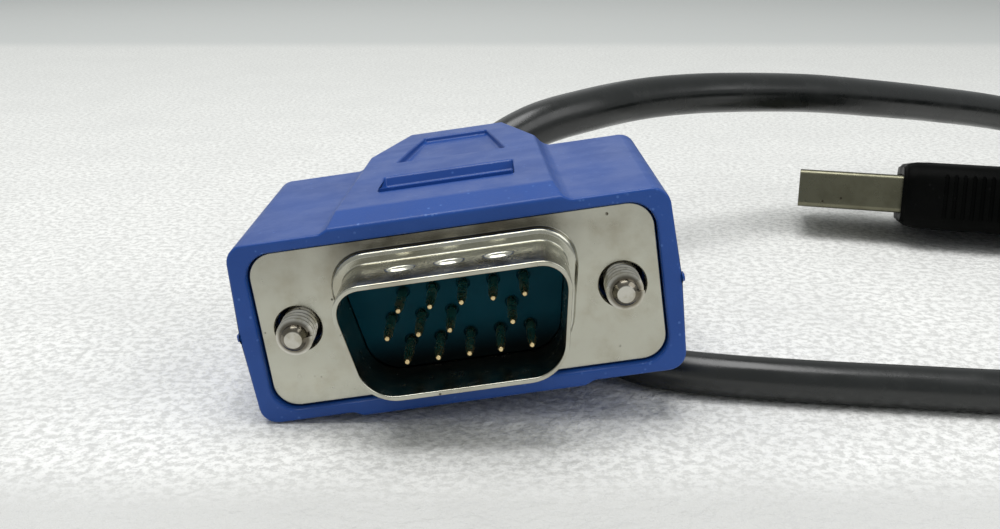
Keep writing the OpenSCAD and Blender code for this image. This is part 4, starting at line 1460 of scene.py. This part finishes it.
@dataclass
class SerialPlug:
    """The flat serial plug on the thin lead: folded shell, tongue with strips, grip and strain relief.

    Attributes:
        shell: The shell's width, height and length.
        wall: Its sheet thickness.
        window: The side, half the spacing and the place of the latch windows.
        tongue: Half the tongue's width, its underside, its top, its front and the step to its block.
        grip: The grip's width, its thickness, its start and its end.
        sections: The place along the grip, the width and the thickness of its sections, as shares.
        edge: The radius of the grip's long edges.
        seat: Half the width and height, the depth and the corner radius of the shell's seat in it.
        groove: The place across, half the depth, the start and the end of each edge's first groove.
        relief_back: The end of the strain relief.
        relief: The radius of the strain relief's first and last rib.
        ribs: How many ribs the strain relief has.
        panel: The start and end of the sunk panels, from the grip's start, and their border and depth.
        grooves: How many grooves each edge has, 1 mm apart.
        lead: The radius of the bore for the lead.
        strip: The width, length, thickness and spacing of the contact strips.
    """

    shell: Point = (12.0, 4.5, 16.9)
    wall: float = 0.3
    window: Point = (2.4, 2.5, 5.2)
    tongue: Point = (5.36, -1.91, -0.01, 0.6, 9.8)
    grip: Point = (15.6, 7.8, 11.9, 40.9)
    sections: tuple[Point, ...] = (
        (0.0, 0.9, 0.84), (0.015, 0.96, 0.94), (0.05, 1.0, 1.0), (0.75, 1.0, 1.0), (1.0, 0.62, 0.9),
    )
    edge: float = 2.2
    seat: Point = (6.04, 2.29, 5.1, 0.6)
    groove: Point = (8.4, 0.85, 4.5, 4.9)
    relief_back: float = 54.9
    relief: Point = (3.3, 2.3)
    ribs: int = 5
    panel: Point = (6.0, 20.0, 1.1, 0.35)
    grooves: int = 14
    lead: float = 1.79
    strip: Point = (1.0, 7.0, 0.2, 2.3)

    def shell_sheet(self) -> Piece:
        """The folded shell with its latch windows and the joint line underneath."""
        width, height, length = self.shell
        high = (width / 2, length, height / 2)
        piece = block("serial_shell_folded", (-width / 2, 0, -height / 2), high, 0.6, 6)
        inner_w, inner_h = width / 2 - self.wall, height / 2 - self.wall
        hollow = block("hollow", (-inner_w, -1, -inner_h), (inner_w, length + 1, inner_h), 0.3, 4)
        side, apart, place = self.window
        half = side / 2
        windows = [
            Bench.box("window", (x - half, place - half, -4), (x + half, place + half, 4))
            for x in (-apart, apart)
        ]
        joint = Bench.box("joint", (-0.05, -1, -height), (0.05, length + 1, 0.14 - height / 2))
        Bench.combine(piece, [hollow, *windows, joint], "DIFFERENCE")
        return Bench.refine(piece, 0.06)

    def tongue_block(self) -> Piece:
        """The white tongue and the block that carries it, with a shallow bed for each strip."""
        half_w, low, top, front, step = self.tongue
        piece = Bench.box("serial_tongue_moulded", (-half_w, front, low), (half_w, self.shell[2], top))
        Bench.edit(piece)
        Bench.split((0, step, 0), (0, 1, 0))
        Bench.pick_faces(lambda c, n: n.z > 0.9 and c.y > step)
        Bench.pull((0, 0, -low - top))
        Bench.pick_edges(lambda a, b: max(a.y, b.y) < front + 0.01 and abs(a.z - b.z) < 0.01)
        Bench.round_picked(0.35, 3)
        Bench.close()
        return Bench.refine(piece, 0.08, gap=0)

    def strips(self) -> Piece:
        """The four contact strips, rounded at the front."""
        _, _, top, _, step = self.tongue
        width, length, thick, spacing = self.strip
        strip = Bench.box("strip", (-width / 2, step - length, top), (width / 2, step, top + thick))
        Bench.edit(strip)
        Bench.pick_edges(lambda a, b: max(a.y, b.y) < step - length + 0.01 and abs(a.z - b.z) > 0.01)
        Bench.round_picked(0.3, 4)
        Bench.close()
        Bench.soften(strip, 0.03, 2, 50)
        copies = [Bench.twin(strip, "strip", ((i - 1.5) * spacing, 0, 0)) for i in range(4)]
        bpy.data.objects.remove(strip)
        return Bench.smooth(Bench.join("serial_strips", copies))

    def grip_body(self) -> Piece:
        """The moulded grip: rounded sections, a sunk panel above and below, and ribs along both edges."""
        width, thick, start, end = self.grip
        run = end - start
        _, w_share, t_share = self.sections[0]
        half_w, half_h = width / 2 * w_share, thick / 2 * t_share
        place = start + 0.1
        low = (-half_w, start, -half_h)
        piece = Bench.box("serial_grip_ribbed", low, (half_w, place, half_h))
        Bench.edit(piece)
        for along, new_w, new_t in self.sections[1:]:
            Bench.pick_faces(lambda c, n: n.y > 0.9 and abs(c.y - place) < 0.01)
            Bench.pull((0, start + run * along - place, 0))
            place = start + run * along
            Bench.stretch((new_w / w_share, 1, new_t / t_share), (0, place, 0))
            w_share, t_share = new_w, new_t
        Bench.pick_edges(lambda a, b: abs(a.y - b.y) > 0.1)
        Bench.round_picked(self.edge, 7)
        first, last, border, sunk = self.panel
        for up in (-1, 1):
            Bench.pick_faces(lambda c, n: n.z * up > 0.99 and start + first < c.y < start + last)
            bpy.ops.mesh.inset(thickness=border, depth=0)
            Bench.pull((0, 0, -sunk * up))
        Bench.close()
        Bench.weld(piece)
        half_w, half_h, deep, corner = self.seat
        seat = block("seat", (-half_w, start - 1, -half_h), (half_w, start + deep, half_h), corner, 4)
        bore = Bench.rod("bore", self.lead, (0, start, 0), (0, end + 1, 0), 32)
        across, half, first, last = self.groove
        grooves = [
            Bench.box("groove", (x - half, start + first + i, -5), (x + half, start + last + i, 5))
            for x in (-across, across)
            for i in range(self.grooves)
        ]
        Bench.combine(piece, [seat, bore, *grooves], "DIFFERENCE")
        return Bench.refine(piece, 0.1, 2, 32, 45)

    def strain_relief(self) -> Piece:
        """The ribbed strain relief that narrows to the lead."""
        _, _, _, start = self.grip
        first, last = self.relief
        step = (self.relief_back - start) / self.ribs
        profile: list[tuple[float, float]] = []
        for i in range(self.ribs):
            radius = first + (last - first) * i / (self.ribs - 1)
            place = start + i * step
            middle = place + step / 2
            root = max(radius - 0.55, self.lead + 0.2)
            profile += [(radius - 0.12, place), (radius, place + 0.14), (radius, middle - 0.14)]
            profile += [(radius - 0.12, middle), (root, middle + 0.06), (root, place + step - 0.02)]
        piece = turned("serial_relief_ribbed", profile, 40)
        bore = Bench.rod("bore", self.lead, (0, start - 1, 0), (0, self.relief_back + 1, 0), 32)
        Bench.combine(piece, [bore], "DIFFERENCE")
        return Bench.smooth(piece)

    def build(self) -> list[Piece]:
        """Builds and settles the serial plug.

        Returns:
            Its pieces.
        """
        return [
            settle(dress(piece, finish), Seat.SERIAL, "root", slot, node)
            for piece, finish, slot, node in (
                (self.shell_sheet(), Finish.SERIAL_NICKEL, "serial_nickel", "usb_shell"),
                (self.tongue_block(), Finish.TONGUE_WHITE, "tongue_white", "usb_tongue"),
                (self.strips(), Finish.GOLD, "gold", "usb_contacts"),
                (self.grip_body(), Finish.GRIP_BLACK, "grip_black", "usb_overmould"),
                (self.strain_relief(), Finish.GRIP_BLACK, "grip_black", "usb_relief"),
            )
        ]


# Inline module


@dataclass
class InterfaceModule:
    """The inline module: a two-part case with its screws, the network jack's front and the lead's grommet.

    Attributes:
        size: The case's length, width and height.
        wall: The case's wall.
        seam: The height of the seam.
        corner: The radius of the case's upright edges.
        rim: The radius of its outer edges above and below.
        label: The length, width and depth of the bare recess in the lid.
        screws: The places of the case screws.
        sink: The radius and depth of the wide bore round a case screw, then of the narrow one.
        screw: The radius and height of a case screw's head, the step to its shank and the shank's length.
        cross: Half the length and width of its cross recess, and its depth.
        groove: The start, spacing, width, depth, underside and top of the grooves in both long sides.
        groove_count: How many grooves each side has.
        jack: The start, half the width, the underside and the top of the network jack.
        socket: The start, half the width, the floor and the ceiling of its socket.
        latch: Half the width and the floor of the latch slot.
        light: The start, the place across, half the width, the underside and the top of a light.
        lead_z: The height of the lead.
        lead_hole: The radius of the hole for the grommet.
        grommet_bore: The radius of the grommet's bore.
        grommet_rings: The radius and the place along its axis of each ring of the grommet.
    """

    size: Point = (70.0, 36.0, 21.5)
    wall: float = 1.6
    seam: float = 11.0
    corner: float = 4.0
    rim: float = 1.3
    label: Point = (40.6, 22.3, 0.4)
    screws: tuple[tuple[float, float], ...] = ((11.0, -10.8), (42.62, 10.8))
    sink: Point = (2.3, 1.5, 1.3, 3.0)
    screw: Point = (2.2, 1.5, 1.0, 9.3)
    cross: Point = (1.25, 0.22, 0.9)
    groove: Point = (10.0, 2.1, 0.9, 0.35, 4.5, 17.0)
    groove_count: int = 8
    jack: Point = (49.0, 7.8, 5.8, 18.8)
    socket: Point = (56.4, 5.95, 9.2, 16.4)
    latch: Point = (3.1, 7.5)
    light: Point = (64.04, 3.93, 1.46, 16.84, 18.36)
    lead_z: float = 10.75
    lead_hole: float = 3.74
    grommet_bore: float = 2.44
    grommet_rings: tuple[Point, ...] = (
        (3.5, -2.0), (4.1, -1.9), (4.42, -1.6), (4.5, -1.2), (4.5, -0.3), (4.4, -0.05),
        (3.7, -0.02), (3.7, 1.64), (4.5, 1.64), (4.5, 3.6),
    )

    def half(self, name: str, low: float, high: float, outer: float) -> Piece:
        """One half of the case: hollow, open at the seam, with the openings and the side grooves cut.

        Args:
            name: Its name.
            low: Its lowest height.
            high: Its highest height.
            outer: The height of its outer face.

        Returns:
            The half.
        """
        length, width, _ = self.size
        piece = block(name, (0, -width / 2, low), (length, width / 2, high), self.corner, 8, 2)
        Bench.edit(piece)
        for level, radius, steps in ((outer, self.rim, 6), (self.seam, 0.22, 1)):
            Bench.pick_edges(lambda a, b: max(abs(a.z - level), abs(b.z - level)) < 0.01)
            Bench.round_picked(radius, steps)
        Bench.close()
        inset = self.wall
        floor = low - 1 if outer > self.seam else low + inset
        ceiling = high + 1 if outer < self.seam else high - inset
        hollow_low = (inset, inset - width / 2, floor)
        hollow_high = (length - inset, width / 2 - inset, ceiling)
        hollow = block("hollow", hollow_low, hollow_high, self.corner - inset, 8, 2)
        start, half_w, under, top = self.jack
        half_w += 0.45
        opening = Bench.box("opening", (start, -half_w, under - 0.1), (length + 1, half_w, top + 0.35))
        hole = Bench.rod("hole", self.lead_hole, (-1, 0, self.lead_z), (3, 0, self.lead_z), 40)
        Bench.combine(piece, [hollow, opening, hole, *self.grooves()], "DIFFERENCE")
        return piece

    def grooves(self) -> list[Piece]:
        """The solids of the grip grooves in both long sides."""
        half_w = self.size[1] / 2
        start, spacing, width, deep, under, top = self.groove
        return [
            Bench.box("groove", (x, y - deep, under), (x + width, y + deep, top))
            for y in (-half_w, half_w)
            for x in (start + spacing * i for i in range(self.groove_count))
        ]

    def base(self) -> Piece:
        """The base, with a sunk bore for each case screw."""
        piece = self.half("case_base_moulded", 0, self.seam, 0)
        cuts = []
        wide, sunk, narrow, deep = self.sink
        for x, y in self.screws:
            cuts.append(Bench.rod("sink", wide, (x, y, -1), (x, y, sunk), 32))
            cuts.append(Bench.rod("bore", narrow, (x, y, -1), (x, y, deep), 24))
        Bench.combine(piece, cuts, "DIFFERENCE")
        return Bench.refine(piece, 0.12)

    def lid(self) -> Piece:
        """The lid, with the bare recess for a label."""
        length, _, height = self.size
        piece = self.half("case_lid_moulded", self.seam, height, height)
        along, across, deep = self.label
        low = ((length - along) / 2, -across / 2, height - deep)
        high = ((length + along) / 2, across / 2, height + 1)
        Bench.combine(piece, [block("recess", low, high, 1.6, 8, 2)], "DIFFERENCE")
        return Bench.refine(piece, 0.12)

    def screw_pair(self) -> Piece:
        """The case screws, with a cross recess in each head."""
        made = []
        radius, height, step, shank = self.screw
        length, width, deep = self.cross
        for x, y in self.screws:
            screw = Bench.rod("case_screws_crossed", radius, (x, y, 0), (x, y, height), 40)
            Bench.edit(screw)
            Bench.pick_faces(lambda c, n: n.z > 0.9)
            bpy.ops.mesh.inset(thickness=step, depth=0)
            Bench.pull((0, 0, shank))
            Bench.pick_edges(lambda a, b: max(a.z, b.z) < 0.01)
            Bench.round_picked(0.35, 4)
            Bench.close()
            cross = [
                Bench.box("cross", (x - a, y - b, -1), (x + a, y + b, deep))
                for a, b in ((length, width), (width, length))
            ]
            Bench.combine(screw, cross, "DIFFERENCE")
            made.append(screw)
        return Bench.smooth(Bench.join("case_screws_crossed", made), 35)

    def jack_body(self) -> Piece:
        """The network jack with its socket, the latch slot and the pockets of its lights."""
        start, half_w, under, top = self.jack
        back, socket_half, floor, ceiling = self.socket
        latch_half, latch_floor = self.latch
        length = self.size[0]
        past = length + 1
        piece = Bench.box("network_jack_moulded", (start, -half_w, under), (length, half_w, top))
        cuts = [
            Bench.box("socket", (back, -socket_half, floor), (past, socket_half, ceiling)),
            Bench.box("latch", (back, -latch_half, latch_floor), (past, latch_half, floor + 0.5)),
            Bench.box("latch_step", (back, -1.6, latch_floor - 0.7), (past, 1.6, latch_floor + 0.5)),
        ]
        front, across, half, low, high = self.light
        room = 0.04
        for y in (-across, across):
            corner = (front - room, y - half - room, low - room)
            cuts.append(Bench.box("pocket", corner, (past, y + half + room, high + room)))
        Bench.combine(piece, cuts, "DIFFERENCE")
        return Bench.refine(piece, 0.14)

    def lights(self) -> Piece:
        """The two light lenses, with rounded fronts."""
        front, across, half, low, high = self.light
        lens = Bench.box("light", (front, -half, low), (self.size[0] - 0.05, half, high))
        Bench.soften(lens, 0.22, 3, 40)
        copies = [Bench.twin(lens, "light", (0, side * across, 0)) for side in (-1, 1)]
        bpy.data.objects.remove(lens)
        return Bench.smooth(Bench.join("network_light_lenses", copies))

    def grommet(self) -> Piece:
        """The grommet that holds the lead in the case's end wall."""
        piece = turned("cable_grommet_turned", self.grommet_rings)
        bore = Bench.rod("bore", self.grommet_bore, (0, -3, 0), (0, 5, 0), 40)
        Bench.combine(piece, [bore], "DIFFERENCE")
        piece.rotation_euler = (0, 0, -math.pi / 2)
        piece.location = (0, 0, self.lead_z)
        Bench.apply(piece)
        return Bench.smooth(piece)

    def build(self) -> None:
        """Builds and settles the module's visible pieces."""
        for piece, finish, slot, node in (
            (self.base(), Finish.CASE_BLACK, "case_black", "module_base"),
            (self.lid(), Finish.CASE_BLACK, "case_black", "module_lid"),
            (self.screw_pair(), Finish.SCREW_NICKEL, "screw_nickel", "case_screws"),
            (self.jack_body(), Finish.JACK_BLACK, "jack_black", "network_jack"),
            (self.lights(), Finish.LIGHT_LENS, "light_lens", "network_lights"),
            (self.grommet(), Finish.GRIP_BLACK, "grip_black", "cable_grommet"),
        ):
            settle(dress(piece, finish), Seat.MODULE, "root", slot, node)


# Finishes of the nodes that are shown as they are
NODE_FINISHES = {
    "vga_rear_shell": Finish.FACE_NICKEL,
    "vga_shield_can": Finish.TIN,
    "vga_core_wires": Finish.CORE_RED,
    "vga_inner_mould": Finish.MOULD_WHITE,
    "main_cable_root": Finish.LEAD_GREY,
    "usb_cable_root": Finish.LEAD_GREY,
    "usb_wires": Finish.LEAD_GREY,
    "module_board": Finish.BOARD_GREEN,
    "network_jack_shield": Finish.TIN,
    "network_contacts": Finish.GOLD,
    "module_cable_root": Finish.LEAD_GREY,
    "board_header": Finish.HEADER_IVORY,
    "main_chip": Finish.CHIP_BLACK,
    "video_chip": Finish.CHIP_BLACK,
    "crystal": Finish.CAN_STEEL,
    "capacitors": Finish.CAPACITOR_BLUE,
    "inductors": Finish.FERRITE,
}


def main() -> None:
    """Builds the studio, the leads and every sub-assembly in order."""
    logging.basicConfig(level=logging.INFO, format="%(message)s")
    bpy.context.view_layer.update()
    Studio().build()
    main_lead = Lead("main_lead", "main_cable", MAIN_ROUTE, 4.8, "object")
    serial_lead = Lead("serial_lead", "usb_cable", SERIAL_ROUTE, 3.5, "plug")
    main_piece = main_lead.build()
    serial_piece = serial_lead.build()
    Hood().build()
    PlugFace().build()
    for side, x in (("left", -SCREW_X), ("right", SCREW_X)):
        Jackscrew(side, x).build()
    plug_pieces = SerialPlug().build()
    InterfaceModule().build()
    for node, finish in NODE_FINISHES.items():
        dress(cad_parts[node], finish)
    main_lead.declare()
    serial_lead.declare()


if __name__ == "__main__":
    main()
